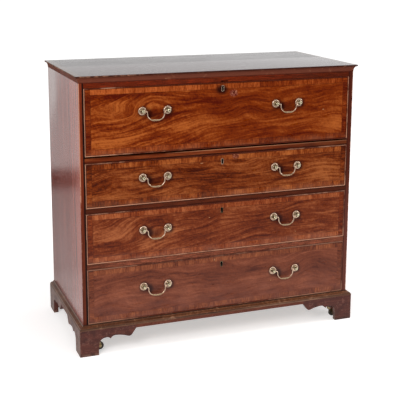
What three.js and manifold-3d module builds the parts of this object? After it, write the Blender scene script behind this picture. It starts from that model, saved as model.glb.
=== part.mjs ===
// Secretaire chest: a mahogany chest whose deep top drawer lets down its front as a writing fall.
// Lengths are millimetres. X runs along the width, Y from front to back, Z up from the floor.
// The front of the case is the plane y = 0 until the last step centres the chest on its origin.

import * as THREE from 'three';
import { mergeVertices } from 'three/addons/utils/BufferGeometryUtils.js';
import Module from 'manifold-3d';

// Case
const caseWidth = 1120;
const caseDepth = 536;
const sideThickness = 18;
const bottomThickness = 18;
const railThickness = 18.5;
const railDepth = 70;
const topRailDepth = 90;
const dustThickness = 8;
const runnerWidth = 44;
const housingDepth = 5;
const housingSetback = 22;
const backThickness = 12;
const backBoards = 5;
const backGroove = 2.5;

// Top board and its moulded edge
const topThickness = 27;
const topOverhang = 13.5;
const topNose = 6;
const topCove = 10.5;
const noseRound = 2.2;

// Base moulding
const mouldingProud = 17.6;
const mouldingFillet = 5;
const mouldingQuirk = 1.8;
const mouldingLip = 1.2;
const plinthHeight = 12;

// Bracket feet
const footHeight = 102.5;
const bracketLength = 221;
const bracketThickness = 19;
const rearBracketLength = 150;
const blockDrop = 58;
const blockMargin = 9;

// Castors
const wheelRadius = 16;
const wheelWidth = 11;
const wheelRound = 2.5;
const wheelClear = 0.6;
const castorTrail = 14;
const axleRadius = 2.2;
const armThickness = 3;
const armHeadRadius = 5.5;
const crownThickness = 3.4;
const collarRadius = 10;
const pintleRadius = 4;
const pintleLength = 34;
const pintleInset = 55;
const swivelClear = 1;

// Drawer heights, from the floor up, and the gaps round them
const lowDrawerHeight = 214.5;
const midDrawerHeight = 195;
const highDrawerHeight = 170.5;
const fallHeight = 252.5;
const drawerGap = 1;
const fallGap = 6;
const fit = 0.3;

// Drawer making
const frontThickness = 20;
const drawerSideThickness = 12;
const drawerSideGap = 1.5;
const drawerSideDrop = 3;
const drawerBackThickness = 10;
const drawerBackClear = 19;
const drawerPanelThickness = 7;
const drawerPanelRise = 8;
const panelHousing = 4;
const frontLap = 5;
const tailCount = 4;
const tailFlare = 2.2;
const stopWidth = 40;
const stopLength = 24;
const stopHeight = 5;
const stopInset = 190;

// Cockbeads
const beadWidth = 3;
const beadProud = 1.8;

// Handles
const handleInset = 288.5;
const postSpacing = 98.5;
const handleRise = 17;
const fallHandleRise = 33;
const roseRadius = 15;
const roseThickness = 3.2;
const postNeckRadius = 4;
const postHeadRadius = 6.4;
const postReach = 21;
const boltStand = 15;
const bailRodRadius = 2.3;
const bailDrop = 36.5;
const bailPinLength = 5;
const knopRadius = 3.4;
const knopLength = 36;

// Keyholes
const keyholeRadius = 3.4;
const keyholeSlot = 3.8;
const keyholeDrop = 12.6;
const keyholeDepth = 12;
const fallKeyholeBelowTop = 18;
const highKeyholeBelowTop = 23.5;
const midKeyholeBelowTop = 27;
const lowKeyholeBelowTop = 31;

// Slot in the top rail that the lock of the fall shoots its bolts into
const boltSlotWidth = 29;
const boltSlotHeight = 3.6;
const boltSlotDepth = 12;
const boltSlotShift = 6;
const boltSlotRise = 1.4;

// Secretaire drawer, its fall and the knife hinges that carry it
const fallThickness = 18;
const hingeRise = 9;
const deskThickness = 14;
const deskGap = 0.4;
const hingeInset = 150;
const hingeWidth = 60;
const hingeLeaf = 3;
const hingeReach = 26;
const barrelRadius = 3.2;
const hingePinRadius = 2;
const hingePinLength = 10;

// Brass quadrants that hold the open fall
const quadrantRadius = 160;
const quadrantWidth = 8;
const quadrantThickness = 3;
const quadrantLug = 2;
const quadrantLugLength = 2;
const guideDepth = 2;
const footPlateWidth = 22;
const footPlateBelow = 22;
const footPlateAbove = 14;
const footPlateThickness = 2.5;

// Pigeonhole nest and its small drawers
const nestSetback = 240;
const nestDrop = 9.5;
const nestBoard = 8;
const nestDivider = 6;
const nestBackThickness = 5;
const pigeonholes = 6;
const smallDrawers = 4;
const smallDrawerHeight = 62;
const smallDrawerGap = 0.6;
const smallDrawerWall = 6;
const smallDrawerFloor = 4;
const valanceThickness = 7;
const valanceDrop = 16;
const knobRadius = 8;
const knobReach = 17;

// Shared values of the cuts and curves
const overrun = 1;
const roundSides = 8;
const wheelSides = 16;
const rodSides = 6;
const bailSteps = 16;
const arcSteps = 12;
const curveSteps = 3;
const profileSteps = 4;
const noseSteps = 2;

// Outline of a bracket foot, in shares of its length and of its height up to the plinth strip:
// control point, then end point.
const bracketStartShares = [0.33, 0];
const bracketCurveShares = [
  [0.322, 0.28, 0.344, 0.56],
  [0.365, 0.74, 0.475, 0.75],
  [0.512, 0.745, 0.538, 0.665],
  [0.565, 0.79, 0.625, 0.795],
  [0.74, 0.79, 0.855, 0.68],
  [0.9, 0.64, 0.93, 0.76],
  [0.965, 0.88, 1, 1],
];

// Swan neck of a bail, in shares of half the post spacing and of the drop, from bolt to middle.
const swanNeckShares = [
  [0.8, 0],
  [0.7, -0.04],
  [0.65, -0.2],
  [0.67, -0.4],
  [0.65, -0.58],
  [0.52, -0.82],
  [0.4, -0.96],
  [0.24, -1],
  [0, -1],
];

// Turned rose behind a handle post, in shares of its radius and thickness.
const roseShares = [
  [1, 0.25],
  [0.88, 1],
  [0.6, 0.6],
];

// Turned head of a handle post, in shares of its radius and of its reach past the bolt.
const postHeadShares = [
  [0.62, -0.78],
  [1, 0],
  [0.62, 0.8],
];

// Small turned knob, in shares of its radius and reach.
const knobShares = [
  [0.5, 0.33],
  [1, 0.6],
  [0.85, 0.9],
];

const wasm = await Module();
wasm.setup();

// Geometry tools

function solid(geometry) {
  const bare = geometry.clone();
  bare.deleteAttribute('normal');
  bare.deleteAttribute('uv');
  const merged = mergeVertices(bare);
  const vertProperties = new Float32Array(merged.attributes.position.array);
  const triVerts = new Uint32Array(merged.index.array);
  return new wasm.Manifold(new wasm.Mesh({ numProp: 3, vertProperties, triVerts }));
}

function geometryOf(manifold) {
  const mesh = manifold.getMesh();
  const geometry = new THREE.BufferGeometry();
  geometry.setAttribute('position', new THREE.BufferAttribute(mesh.vertProperties, 3));
  geometry.setIndex(new THREE.BufferAttribute(mesh.triVerts, 1));
  const faceted = geometry.toNonIndexed();
  faceted.computeVertexNormals();
  return faceted;
}

function block(x0, x1, y0, y1, z0, z1) {
  const box = new THREE.BoxGeometry(Math.abs(x1 - x0), Math.abs(y1 - y0), Math.abs(z1 - z0));
  box.translate((x0 + x1) / 2, (y0 + y1) / 2, (z0 + z1) / 2);
  return solid(box);
}

const planes = {
  xz: new THREE.Matrix4().makeBasis(
    new THREE.Vector3(1, 0, 0), new THREE.Vector3(0, 0, 1), new THREE.Vector3(0, -1, 0)),
  yz: new THREE.Matrix4().makeBasis(
    new THREE.Vector3(0, 1, 0), new THREE.Vector3(0, 0, 1), new THREE.Vector3(1, 0, 0)),
  xy: new THREE.Matrix4(),
};

// Extrudes an outline drawn in a plane from one place on the third axis to another.
function prism(shape, plane, from, to) {
  const low = Math.min(from, to);
  const high = Math.max(from, to);
  const settings = { depth: high - low, bevelEnabled: false, curveSegments: curveSteps };
  const geometry = new THREE.ExtrudeGeometry(shape, settings);
  geometry.translate(0, 0, plane === 'xz' ? -high : low);
  geometry.applyMatrix4(planes[plane]);
  return solid(geometry);
}

function polygon(points) {
  return new THREE.Shape(points.map(([u, v]) => new THREE.Vector2(u, v)));
}

// A closed skin over a row of four-cornered rings, capped at both ends.
function loft(rings) {
  const positions = rings.flat(2);
  const last = (rings.length - 1) * 4;
  const index = [
    0, 2, 1, 0, 3, 2,
    last, last + 1, last + 2, last, last + 2, last + 3,
  ];
  for (let ring = 0; ring < rings.length - 1; ring += 1) {
    for (let corner = 0; corner < 4; corner += 1) {
      const a = ring * 4 + corner;
      const b = ring * 4 + ((corner + 1) % 4);
      index.push(a, b, b + 4, a, b + 4, a + 4);
    }
  }
  const geometry = new THREE.BufferGeometry();
  geometry.setAttribute('position', new THREE.Float32BufferAttribute(positions, 3));
  geometry.setIndex(index);
  return solid(geometry);
}

function turned(profile, sides = roundSides) {
  const points = profile.map(([r, h]) => new THREE.Vector2(r, h));
  return new THREE.LatheGeometry(points, sides);
}

// Corner radius of a faceted bore whose flats stand at a given radius.
const boreRadius = (radius, sides) => radius / Math.cos(Math.PI / sides);

// A round bar along X.
function barX(radius, x0, x1, y, z, sides = roundSides) {
  const geometry = new THREE.CylinderGeometry(radius, radius, Math.abs(x1 - x0), sides);
  geometry.rotateZ(-Math.PI / 2);
  geometry.translate((x0 + x1) / 2, y, z);
  return solid(geometry);
}

// Steps along a quarter turn, as pairs of sine and 1 - cosine.
function quarterSteps(steps) {
  return Array.from({ length: steps + 1 }, (_, i) => {
    const turn = (Math.PI / 2) * (i / steps);
    return [Math.sin(turn), 1 - Math.cos(turn)];
  });
}

// Levels and half widths that several pieces share
const caseHalf = caseWidth / 2;
const openingHalf = caseHalf - sideThickness;
const backFront = caseDepth - backThickness;
const drawerRear = backFront - drawerBackClear;
const baseTop = footHeight + bottomThickness;

function row(floor, height, gapBelow, keyholeBelowTop) {
  const z0 = floor + gapBelow;
  return { floor, z0, z1: z0 + height, keyholeZ: z0 + height - keyholeBelowTop };
}

const lowRow = row(baseTop, lowDrawerHeight, drawerGap, lowKeyholeBelowTop);
const lowRail = lowRow.z1 + drawerGap;
const midRow = row(lowRail + railThickness, midDrawerHeight, drawerGap, midKeyholeBelowTop);
const midRail = midRow.z1 + drawerGap;
const highRow = row(midRail + railThickness, highDrawerHeight, drawerGap, highKeyholeBelowTop);
const highRail = highRow.z1 + drawerGap;
const fallRow = row(highRail + railThickness, fallHeight, fallGap, fallKeyholeBelowTop);
const topRailBottom = fallRow.z1 + drawerGap;
const caseTop = topRailBottom + railThickness;
const longRows = { drawer_2: highRow, drawer_3: midRow, drawer_4: lowRow };

// Finishes
const finish = (color, roughness, metalness) => () =>
  new THREE.MeshStandardMaterial({ color, roughness, metalness });
const mahogany = finish(0x6e3220, 0.35, 0);
const figured = finish(0x8a4420, 0.32, 0);
const worn = finish(0x5a3322, 0.5, 0);
const pine = finish(0xa9855a, 0.7, 0);
const oak = finish(0x8d6a43, 0.65, 0);
const brass = finish(0xa58a5a, 0.38, 0.9);
const darkWheel = finish(0x2a231c, 0.6, 0.1);

const chest = new THREE.Group();

function piece(name, manifold, material) {
  const mesh = new THREE.Mesh(geometryOf(manifold), material());
  mesh.name = name;
  chest.add(mesh);
}

// Case boards

function caseSide(sign) {
  let board = block(sign * openingHalf, sign * caseHalf, 0, caseDepth, footHeight, caseTop);
  for (const level of [lowRail, midRail, highRail]) {
    board = board.subtract(block(
      sign * (openingHalf - overrun), sign * (openingHalf + housingDepth),
      housingSetback, backFront, level, level + railThickness));
  }
  return board;
}

function backPanel() {
  const step = (2 * openingHalf) / backBoards;
  const points = [[-openingHalf, backFront], [openingHalf, backFront], [openingHalf, caseDepth]];
  for (let board = backBoards - 1; board > 0; board -= 1) {
    const joint = -openingHalf + board * step;
    points.push([joint + backGroove, caseDepth]);
    points.push([joint, caseDepth - backGroove]);
    points.push([joint - backGroove, caseDepth]);
  }
  points.push([-openingHalf, caseDepth]);
  return prism(polygon(points), 'xy', footHeight, caseTop);
}

// Front rail, housed dust board and the raised runners at its two ends, in one glued frame.
function divider(level) {
  const top = level + railThickness;
  const half = openingHalf + housingDepth - fit;
  const inner = openingHalf - runnerWidth;
  const dust = level + dustThickness;
  const section = polygon([
    [-half, level], [half, level], [half, top], [inner, top],
    [inner, dust], [-inner, dust], [-inner, top], [-half, top],
  ]);
  const frame = prism(section, 'xz', housingSetback + fit, backFront);
  return frame.add(block(-openingHalf, openingHalf, 0, railDepth, level, top));
}

// Blocks that stop a drawer by the back of its front.
function frontStops(floor) {
  const near = frontThickness + fit;
  const blocks = [-1, 1].map((sign) => {
    const x = sign * (openingHalf - stopInset);
    const half = stopWidth / 2;
    return block(x - half, x + half, near, near + stopLength, floor - overrun, floor + stopHeight);
  });
  return blocks[0].add(blocks[1]);
}

// Blocks behind the sides of the secretaire drawer.
function rearStops(floor) {
  const blocks = [-1, 1].map((sign) => block(
    sign * openingHalf, sign * (openingHalf - stopWidth),
    drawerRear + fit, backFront, floor - overrun, floor + stopWidth));
  return blocks[0].add(blocks[1]);
}

function levelRing(z, front, side) {
  return [
    [-caseHalf - side, -front, z],
    [caseHalf + side, -front, z],
    [caseHalf + side, caseDepth, z],
    [-caseHalf - side, caseDepth, z],
  ];
}

// Thin rounded edge above a cavetto, run round the front and both ends.
function topBoard() {
  const coveTop = caseTop + topThickness - topNose;
  const rings = quarterSteps(profileSteps).map(([rise, out]) => {
    const proud = topCove * out;
    return levelRing(caseTop + (coveTop - caseTop) * rise, proud, proud);
  });
  rings.push(levelRing(coveTop + noseRound, topOverhang, topOverhang));
  for (const [along, over] of quarterSteps(noseSteps)) {
    const proud = topOverhang - noseRound * over;
    rings.push(levelRing(caseTop + topThickness - noseRound * (1 - along), proud, proud));
  }
  return loft(rings);
}

// The strip that joins the brackets under the moulding, along the front and both ends.
function plinthStrip() {
  const outer = caseHalf + mouldingProud;
  const end = outer - bracketLength;
  const low = footHeight - plinthHeight;
  const high = footHeight + overrun;
  const front = block(-end, end, -mouldingProud, 0, low, high);
  return [-1, 1].reduce((strip, sign) => strip.add(block(
    sign * caseHalf, sign * outer,
    bracketLength - mouldingProud, caseDepth - bracketLength, low, high)), front);
}

// Square fillet, quirk, ovolo and cavetto, mitred round the front corners.
function baseMoulding() {
  const rings = [levelRing(footHeight, mouldingProud, mouldingProud)];
  const fillet = footHeight + mouldingFillet;
  rings.push(levelRing(fillet, mouldingProud, mouldingProud));
  const outer = mouldingProud - mouldingQuirk;
  const middle = (outer + mouldingLip) / 2;
  const rise = (baseTop - fillet) / 2;
  for (const [along, over] of quarterSteps(profileSteps)) {
    const proud = outer - (outer - middle) * over;
    rings.push(levelRing(fillet + rise * along, proud, proud));
  }
  for (const [along, over] of quarterSteps(profileSteps).slice(1)) {
    const proud = middle - (middle - mouldingLip) * along;
    rings.push(levelRing(fillet + rise + rise * over, proud, proud));
  }
  const core = block(
    -caseHalf, caseHalf, 0, caseDepth + overrun, footHeight - overrun, baseTop + overrun);
  return loft(rings).subtract(core).add(plinthStrip());
}

piece('top_board', topBoard(), mahogany);
piece('left_side', caseSide(-1), mahogany);
piece('right_side', caseSide(1), mahogany);
piece(
  'bottom_board',
  block(-openingHalf, openingHalf, 0, backFront, footHeight, baseTop).add(frontStops(baseTop)),
  pine);
piece('back_panel', backPanel(), pine);
const boltSlotBottom = topRailBottom + boltSlotRise;
piece(
  'top_rail',
  block(-openingHalf, openingHalf, 0, topRailDepth, topRailBottom, caseTop).subtract(block(
    boltSlotShift - boltSlotWidth / 2, boltSlotShift + boltSlotWidth / 2,
    -overrun, boltSlotDepth, boltSlotBottom, boltSlotBottom + boltSlotHeight)),
  mahogany);
piece(
  'divider_1',
  divider(highRail).add(rearStops(highRail + railThickness)),
  mahogany);
piece('divider_2', divider(midRail).add(frontStops(midRail + railThickness)), mahogany);
piece('divider_3', divider(lowRail).add(frontStops(lowRail + railThickness)), mahogany);
piece('base_moulding', baseMoulding(), worn);

// Feet and castors

const footOuter = caseHalf + mouldingProud;
const footInner = footOuter - bracketThickness;
const swingRadius = Math.hypot(castorTrail + wheelRadius, wheelWidth / 2 + armThickness);
const pintleX = footInner - pintleInset;
const frontPintleY = bracketThickness - mouldingProud + swingRadius + swivelClear;
const rearPintleY = caseDepth - bracketThickness - swingRadius - swivelClear;
const axleZ = wheelRadius + wheelClear;
const crownBottom = axleZ + wheelRadius + swivelClear;
const crownTop = crownBottom + crownThickness;

// Cusped outline of a bracket: it starts at the corner of the foot and runs along the moulding.
function bracketShape(start, direction, length) {
  const plinthBottom = footHeight - plinthHeight;
  const at = (along, up) => [start + direction * along * length, up * plinthBottom];
  const shape = new THREE.Shape();
  shape.moveTo(...at(0, 0));
  shape.lineTo(...at(...bracketStartShares));
  for (const [controlAlong, controlUp, along, up] of bracketCurveShares) {
    shape.quadraticCurveTo(...at(controlAlong, controlUp), ...at(along, up));
  }
  shape.lineTo(start + direction * length, footHeight);
  shape.lineTo(start, footHeight);
  shape.closePath();
  return shape;
}

function bracketFoot(sign, front) {
  const outerX = sign * footOuter;
  const innerX = sign * footInner;
  const corner = front ? -mouldingProud : caseDepth;
  const inward = front ? 1 : -1;
  const innerY = corner + inward * bracketThickness;
  const sidewise = prism(
    bracketShape(corner, inward, bracketLength), 'yz', outerX, innerX);
  const reach = front ? bracketLength : rearBracketLength;
  const across = prism(bracketShape(outerX, -sign, reach), 'xz', corner, innerY);
  const pintleY = front ? frontPintleY : rearPintleY;
  const under = footHeight - blockDrop;
  const glueBlock = block(
    sign * (footInner + overrun), sign * (pintleX - blockMargin),
    innerY - inward * overrun, pintleY + inward * blockMargin * 2, under, footHeight);
  const bore = boreRadius(pintleRadius + fit, roundSides);
  const socket = new THREE.CylinderGeometry(
    bore, bore, pintleLength + overrun * 2, roundSides);
  socket.rotateX(Math.PI / 2);
  socket.translate(sign * pintleX, pintleY, under + pintleLength / 2);
  return sidewise.add(across).add(glueBlock).subtract(solid(socket));
}

// Horned fork: pintle, collar, crown, two arms and the axle between them.
function castorFork(x, y) {
  const axleX = x + castorTrail;
  const gapHalf = wheelWidth / 2 + fit;
  const outerHalf = gapHalf + armThickness;
  const arm = new THREE.Shape();
  arm.moveTo(x - armHeadRadius, crownTop);
  arm.lineTo(x - armHeadRadius, crownBottom);
  arm.lineTo(axleX - armHeadRadius, axleZ);
  arm.absarc(axleX, axleZ, armHeadRadius, Math.PI, 2 * Math.PI, false);
  arm.quadraticCurveTo(axleX + armHeadRadius, crownBottom, axleX - armHeadRadius, crownTop);
  arm.closePath();
  const near = prism(arm, 'xz', y - outerHalf, y - gapHalf);
  const far = prism(arm, 'xz', y + gapHalf, y + outerHalf);
  const crown = block(
    x - armHeadRadius, axleX - armHeadRadius, y - outerHalf, y + outerHalf, crownBottom, crownTop);
  const rod = new THREE.CylinderGeometry(
    axleRadius, axleRadius, outerHalf * 2 - armThickness, roundSides);
  rod.translate(axleX, y, axleZ);
  const under = footHeight - blockDrop - fit;
  const stem = turned([
    [0, crownBottom + fit],
    [collarRadius, crownBottom + fit],
    [collarRadius, under],
    [pintleRadius, under],
    [pintleRadius, under + pintleLength],
    [0, under + pintleLength],
  ]);
  stem.rotateX(Math.PI / 2);
  stem.translate(x, y, 0);
  return near.add(far).add(crown).add(solid(rod)).add(solid(stem));
}

function castorWheel(x, y) {
  const half = wheelWidth / 2;
  const bore = boreRadius(axleRadius + fit, wheelSides);
  const tyre = turned([
    [bore, -half],
    [wheelRadius - wheelRound, -half],
    [wheelRadius, -half + wheelRound],
    [wheelRadius, half - wheelRound],
    [wheelRadius - wheelRound, half],
    [bore, half],
    [bore, -half],
  ], wheelSides);
  tyre.translate(x + castorTrail, y, axleZ);
  return solid(tyre);
}

for (const front of [true, false]) {
  for (const sign of [-1, 1]) {
    const place = `${front ? 'front' : 'rear'}_${sign < 0 ? 'left' : 'right'}`;
    const y = front ? frontPintleY : rearPintleY;
    piece(`foot_${place}`, bracketFoot(sign, front), mahogany);
    piece(`castor_fork_${place}`, castorFork(sign * pintleX, y), brass);
    piece(`castor_wheel_${place}`, castorWheel(sign * pintleX, y), darkWheel);
  }
}

// Drawer joinery

// Middle height, and half widths at root and tip, of each dovetail on the end of a board.
function tailPlaces(z0, z1) {
  const pitch = (z1 - z0) / tailCount;
  const wide = pitch / 2 - tailFlare;
  return Array.from({ length: tailCount }, (_, i) => [
    z0 + pitch * (i + 0.5), wide - tailFlare, wide,
  ]);
}

// The zigzag edge of a dovetailed end, from the bottom up.
function tailEdge(z0, z1, root, tip) {
  return tailPlaces(z0, z1).flatMap(([middle, narrow, wide]) => [
    [root, middle - narrow], [tip, middle - wide], [tip, middle + wide], [root, middle + narrow],
  ]);
}

// The sockets that those tails enter, cut with a clearance and run out past both faces.
function cutSockets(board, z0, z1, root, tip, sign) {
  const inward = Math.sign(root - tip);
  const slope = tailFlare / Math.abs(root - tip);
  const end = tip - inward * fit;
  const start = root + inward * overrun;
  let cut = board;
  for (const [middle, narrow, wide] of tailPlaces(z0, z1)) {
    const open = narrow + fit - overrun * slope;
    const shut = wide + fit + fit * slope;
    const shape = polygon([
      [start, middle - open], [end, middle - shut], [end, middle + shut], [start, middle + open],
    ]);
    cut = cut.subtract(
      prism(shape, 'yz', sign * (innerHalf - fit), sign * (boxHalf + overrun)));
  }
  return cut;
}

const boxHalf = openingHalf - drawerSideGap;
const innerHalf = boxHalf - drawerSideThickness;

// A board whose front face is ringed by a half-round cockbead.
function beadedBoard(x0, x1, z0, z1, face, back, width, proud) {
  const ring = (y, inset) => [
    [x0 + inset, y, z0 + inset],
    [x1 - inset, y, z0 + inset],
    [x1 - inset, y, z1 - inset],
    [x0 + inset, y, z1 - inset],
  ];
  const rings = [ring(back, 0)];
  for (let step = 0; step <= profileSteps; step += 1) {
    const turn = Math.PI * (step / profileSteps);
    rings.push(ring(face - proud * Math.sin(turn), (width / 2) * (1 - Math.cos(turn))));
  }
  return loft(rings);
}

// Rose, neck and drilled head of one handle post.
function handlePost(x, z) {
  const profile = [[0, -overrun], [roseRadius, -overrun]];
  for (const [out, along] of roseShares) {
    profile.push([roseRadius * out, roseThickness * along]);
  }
  profile.push([postNeckRadius, roseThickness]);
  const headReach = postReach - boltStand;
  for (const [out, along] of postHeadShares) {
    profile.push([postHeadRadius * out, boltStand + headReach * along]);
  }
  profile.push([0, postReach]);
  const geometry = turned(profile);
  geometry.rotateX(Math.PI);
  geometry.translate(x, 0, z);
  const bore = barX(
    boreRadius(bailRodRadius + fit, rodSides),
    x - postHeadRadius - overrun, x + postHeadRadius + overrun, -boltStand, z, rodSides);
  return solid(geometry).subtract(bore);
}

function keyhole(z) {
  const neck = Math.asin(keyholeSlot / 2 / keyholeRadius);
  const down = Math.PI * 1.5;
  const shape = new THREE.Shape();
  shape.absarc(0, z, keyholeRadius, down - neck, down + neck - 2 * Math.PI, true);
  shape.lineTo(keyholeSlot / 2, z - keyholeDrop);
  shape.lineTo(-keyholeSlot / 2, z - keyholeDrop);
  shape.closePath();
  return prism(shape, 'xz', -overrun, keyholeDepth);
}

const handleCentres = [-1, 1].map((sign) => sign * (caseHalf - handleInset));

function withHandlePosts(board, z) {
  let dressed = board;
  for (const centre of handleCentres) {
    for (const end of [-1, 1]) {
      dressed = dressed.add(handlePost(centre + (end * postSpacing) / 2, z));
    }
  }
  return dressed;
}

// Swan-necked bail with a turned knop, hung by its two pins.
function bail(centre, z) {
  const half = postSpacing / 2;
  const left = swanNeckShares.map(([out, down]) => [-out * half, down * bailDrop]);
  const right = left.slice(0, -1).map(([x, down]) => [-x, down]).reverse();
  const points = [...left, ...right].map(
    ([x, down]) => new THREE.Vector3(centre + x, -boltStand, z + down));
  const path = new THREE.CatmullRomCurve3(points, false, 'centripetal');
  const section = new THREE.Shape();
  section.absarc(0, 0, bailRodRadius, 0, 2 * Math.PI, false);
  const rod = new THREE.ExtrudeGeometry(section, {
    steps: bailSteps, bevelEnabled: false, extrudePath: path, curveSegments: rodSides / 2,
  });
  const knopHalf = knopLength / 2;
  const knop = turned([
    [0, -knopHalf],
    [bailRodRadius, -knopHalf],
    [knopRadius, -knopHalf / 4],
    [knopRadius, knopHalf / 4],
    [bailRodRadius, knopHalf],
    [0, knopHalf],
  ], rodSides);
  knop.rotateZ(-Math.PI / 2);
  knop.translate(centre, -boltStand, z - bailDrop);
  const inner = half * swanNeckShares[0][0] - overrun;
  const pins = [-1, 1].map((sign) => barX(
    bailRodRadius, centre + sign * inner, centre + sign * (half + bailPinLength),
    -boltStand, z, rodSides));
  return solid(rod).add(solid(knop)).add(pins[0]).add(pins[1]);
}

function bails(name, z) {
  piece(`${name}_bail_left`, bail(handleCentres[0], z), brass);
  piece(`${name}_bail_right`, bail(handleCentres[1], z), brass);
}

// Sides with dovetailed ends; the front end stops short of a lapped front, or of a fall.
function drawerSide(sign, z0, z1, front, tipFront) {
  const rear = drawerRear - drawerBackThickness;
  const lapped = tipFront < front ? tailEdge(z0, z1, front, tipFront).reverse() : [];
  const outline = [
    [front, z0], [rear, z0], ...tailEdge(z0, z1, rear, drawerRear), [rear, z1], [front, z1],
    ...lapped,
  ];
  return prism(polygon(outline), 'yz', sign * innerHalf, sign * boxHalf);
}

function longDrawer(name, { floor, z0, z1, keyholeZ }) {
  const sideBottom = floor + fit;
  const sideTop = z1 - drawerSideDrop;
  const panelBottom = sideBottom + drawerPanelRise;
  const panelTop = panelBottom + drawerPanelThickness;
  const handleZ = (z0 + z1) / 2 + handleRise;
  const tipFront = frontLap + fit;
  const half = openingHalf - drawerGap;
  const groove = block(
    -innerHalf - panelHousing - fit, innerHalf + panelHousing + fit,
    frontThickness - panelHousing - fit, drawerRear + overrun,
    panelBottom - fit / 2, panelTop + fit / 2);
  let front = beadedBoard(-half, half, z0, z1, 0, frontThickness, beadWidth, beadProud);
  front = front.subtract(keyhole(keyholeZ)).subtract(groove);
  let back = block(
    -boxHalf, boxHalf, drawerRear - drawerBackThickness, drawerRear, panelTop, sideTop);
  for (const sign of [-1, 1]) {
    front = cutSockets(front, sideBottom, sideTop, frontThickness, tipFront, sign);
    back = cutSockets(
      back, sideBottom, sideTop, drawerRear - drawerBackThickness, drawerRear + overrun, sign);
  }
  piece(`${name}_front`, withHandlePosts(front, handleZ), figured);
  for (const [sign, side] of [[-1, 'left'], [1, 'right']]) {
    const board = drawerSide(sign, sideBottom, sideTop, frontThickness, tipFront);
    piece(`${name}_${side}_side`, board.subtract(groove), oak);
  }
  piece(`${name}_back`, back, oak);
  const panelHalf = innerHalf + panelHousing;
  piece(
    `${name}_bottom`,
    block(-panelHalf, panelHalf, frontThickness - panelHousing, drawerRear, panelBottom, panelTop),
    oak);
  bails(name, handleZ);
}

for (const [name, place] of Object.entries(longRows)) {
  longDrawer(name, place);
}

// Secretaire drawer and fall

const hingeY = fallThickness / 2;
const hingeZ = fallRow.z0 + hingeRise;
const boxFront = fallThickness + deskGap;
const deskTop = hingeZ + fallThickness / 2;
const deskBottom = deskTop - deskThickness;
const fallHandleZ = (fallRow.z0 + fallRow.z1) / 2 + fallHandleRise;
const hingeCentres = [hingeInset - caseHalf, 0, caseHalf - hingeInset];

// A ring sector about the hinge line, between two angles above the level, in the YZ plane.
function sector(inner, outer, from, to, x0, x1) {
  const points = [];
  for (let step = 0; step <= arcSteps; step += 1) {
    const angle = from + ((to - from) * step) / arcSteps;
    points.push([hingeY + outer * Math.cos(angle), hingeZ + outer * Math.sin(angle)]);
  }
  for (let step = arcSteps; step >= 0; step -= 1) {
    const angle = from + ((to - from) * step) / arcSteps;
    points.push([hingeY + inner * Math.cos(angle), hingeZ + inner * Math.sin(angle)]);
  }
  return prism(polygon(points), 'yz', x0, x1);
}

// Angle at which the circle of the quadrant passes a given distance behind the hinge line.
const angleAt = (behind) => Math.acos(behind / quadrantRadius);
const barHalf = quadrantWidth / 2;
const lugHalf = barHalf + quadrantLug;
const stopBehind = boxFront - hingeY + guideDepth + fit;
const tailAngle = -Math.asin((stopBehind + quadrantLugLength) / quadrantRadius);
const lugAngle = -Math.asin(stopBehind / quadrantRadius);

function footPlate(sign, grow) {
  const edge = openingHalf - drawerGap - beadWidth;
  const behind = grow ? overrun : 0;
  return block(
    sign * (edge + grow), sign * (edge - footPlateWidth - grow),
    fallThickness - footPlateThickness - grow, fallThickness + behind,
    hingeZ + quadrantRadius - footPlateBelow - grow,
    hingeZ + quadrantRadius + footPlateAbove + grow);
}

function quadrant(sign) {
  const near = innerHalf + fit;
  const far = near + quadrantThickness;
  const seat = angleAt(fallThickness / 2 - footPlateThickness / 2);
  const bar = sector(
    quadrantRadius - barHalf, quadrantRadius + barHalf, tailAngle, seat, sign * near, sign * far);
  const lug = sector(
    quadrantRadius - lugHalf, quadrantRadius + lugHalf, tailAngle, lugAngle, sign * near, sign * far);
  return bar.add(lug).add(footPlate(sign, 0));
}

// Curved slot for the quadrant; it narrows at the front edge, where the lug comes to rest.
function quadrantSlot(sign) {
  const x = [sign * (innerHalf - overrun), sign * (innerHalf + quadrantThickness + fit * 3)];
  const mouth = angleAt(hingeY);
  const below = tailAngle * 2;
  const narrow = barHalf + fit * 2;
  const wide = lugHalf + fit * 2;
  const throat = angleAt(stopBehind - fit);
  return sector(quadrantRadius - narrow, quadrantRadius + narrow, below, Math.PI / 2, ...x)
    .add(sector(
      quadrantRadius - wide, quadrantRadius + wide, below, Math.min(throat, mouth), ...x));
}

function fall() {
  const half = openingHalf - drawerGap;
  let board = beadedBoard(
    -half, half, fallRow.z0, fallRow.z1, 0, fallThickness, beadWidth, beadProud);
  const round = barX(
    fallThickness / 2, -half - overrun, half + overrun, hingeY, hingeZ, wheelSides);
  const corner = block(
    -half - overrun, half + overrun, hingeY, fallThickness + overrun,
    fallRow.z0 - overrun, hingeZ).subtract(round);
  board = board.subtract(corner);
  for (const x of hingeCentres) {
    const notch = block(
      x - hingeWidth / 2, x + hingeWidth / 2,
      hingeY - barrelRadius - fit, fallThickness + overrun,
      fallRow.z0 - overrun, hingeZ + barrelRadius + fit);
    const reach = hingeWidth / 2 + hingePinLength;
    const pinBore = barX(
      boreRadius(hingePinRadius + fit, roundSides), x - reach - fit, x + reach + fit,
      hingeY, hingeZ);
    board = board.subtract(notch).subtract(pinBore);
  }
  for (const sign of [-1, 1]) {
    board = board.subtract(footPlate(sign, fit));
  }
  board = board.subtract(keyhole(fallRow.keyholeZ));
  return withHandlePosts(board, fallHandleZ);
}

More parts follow.
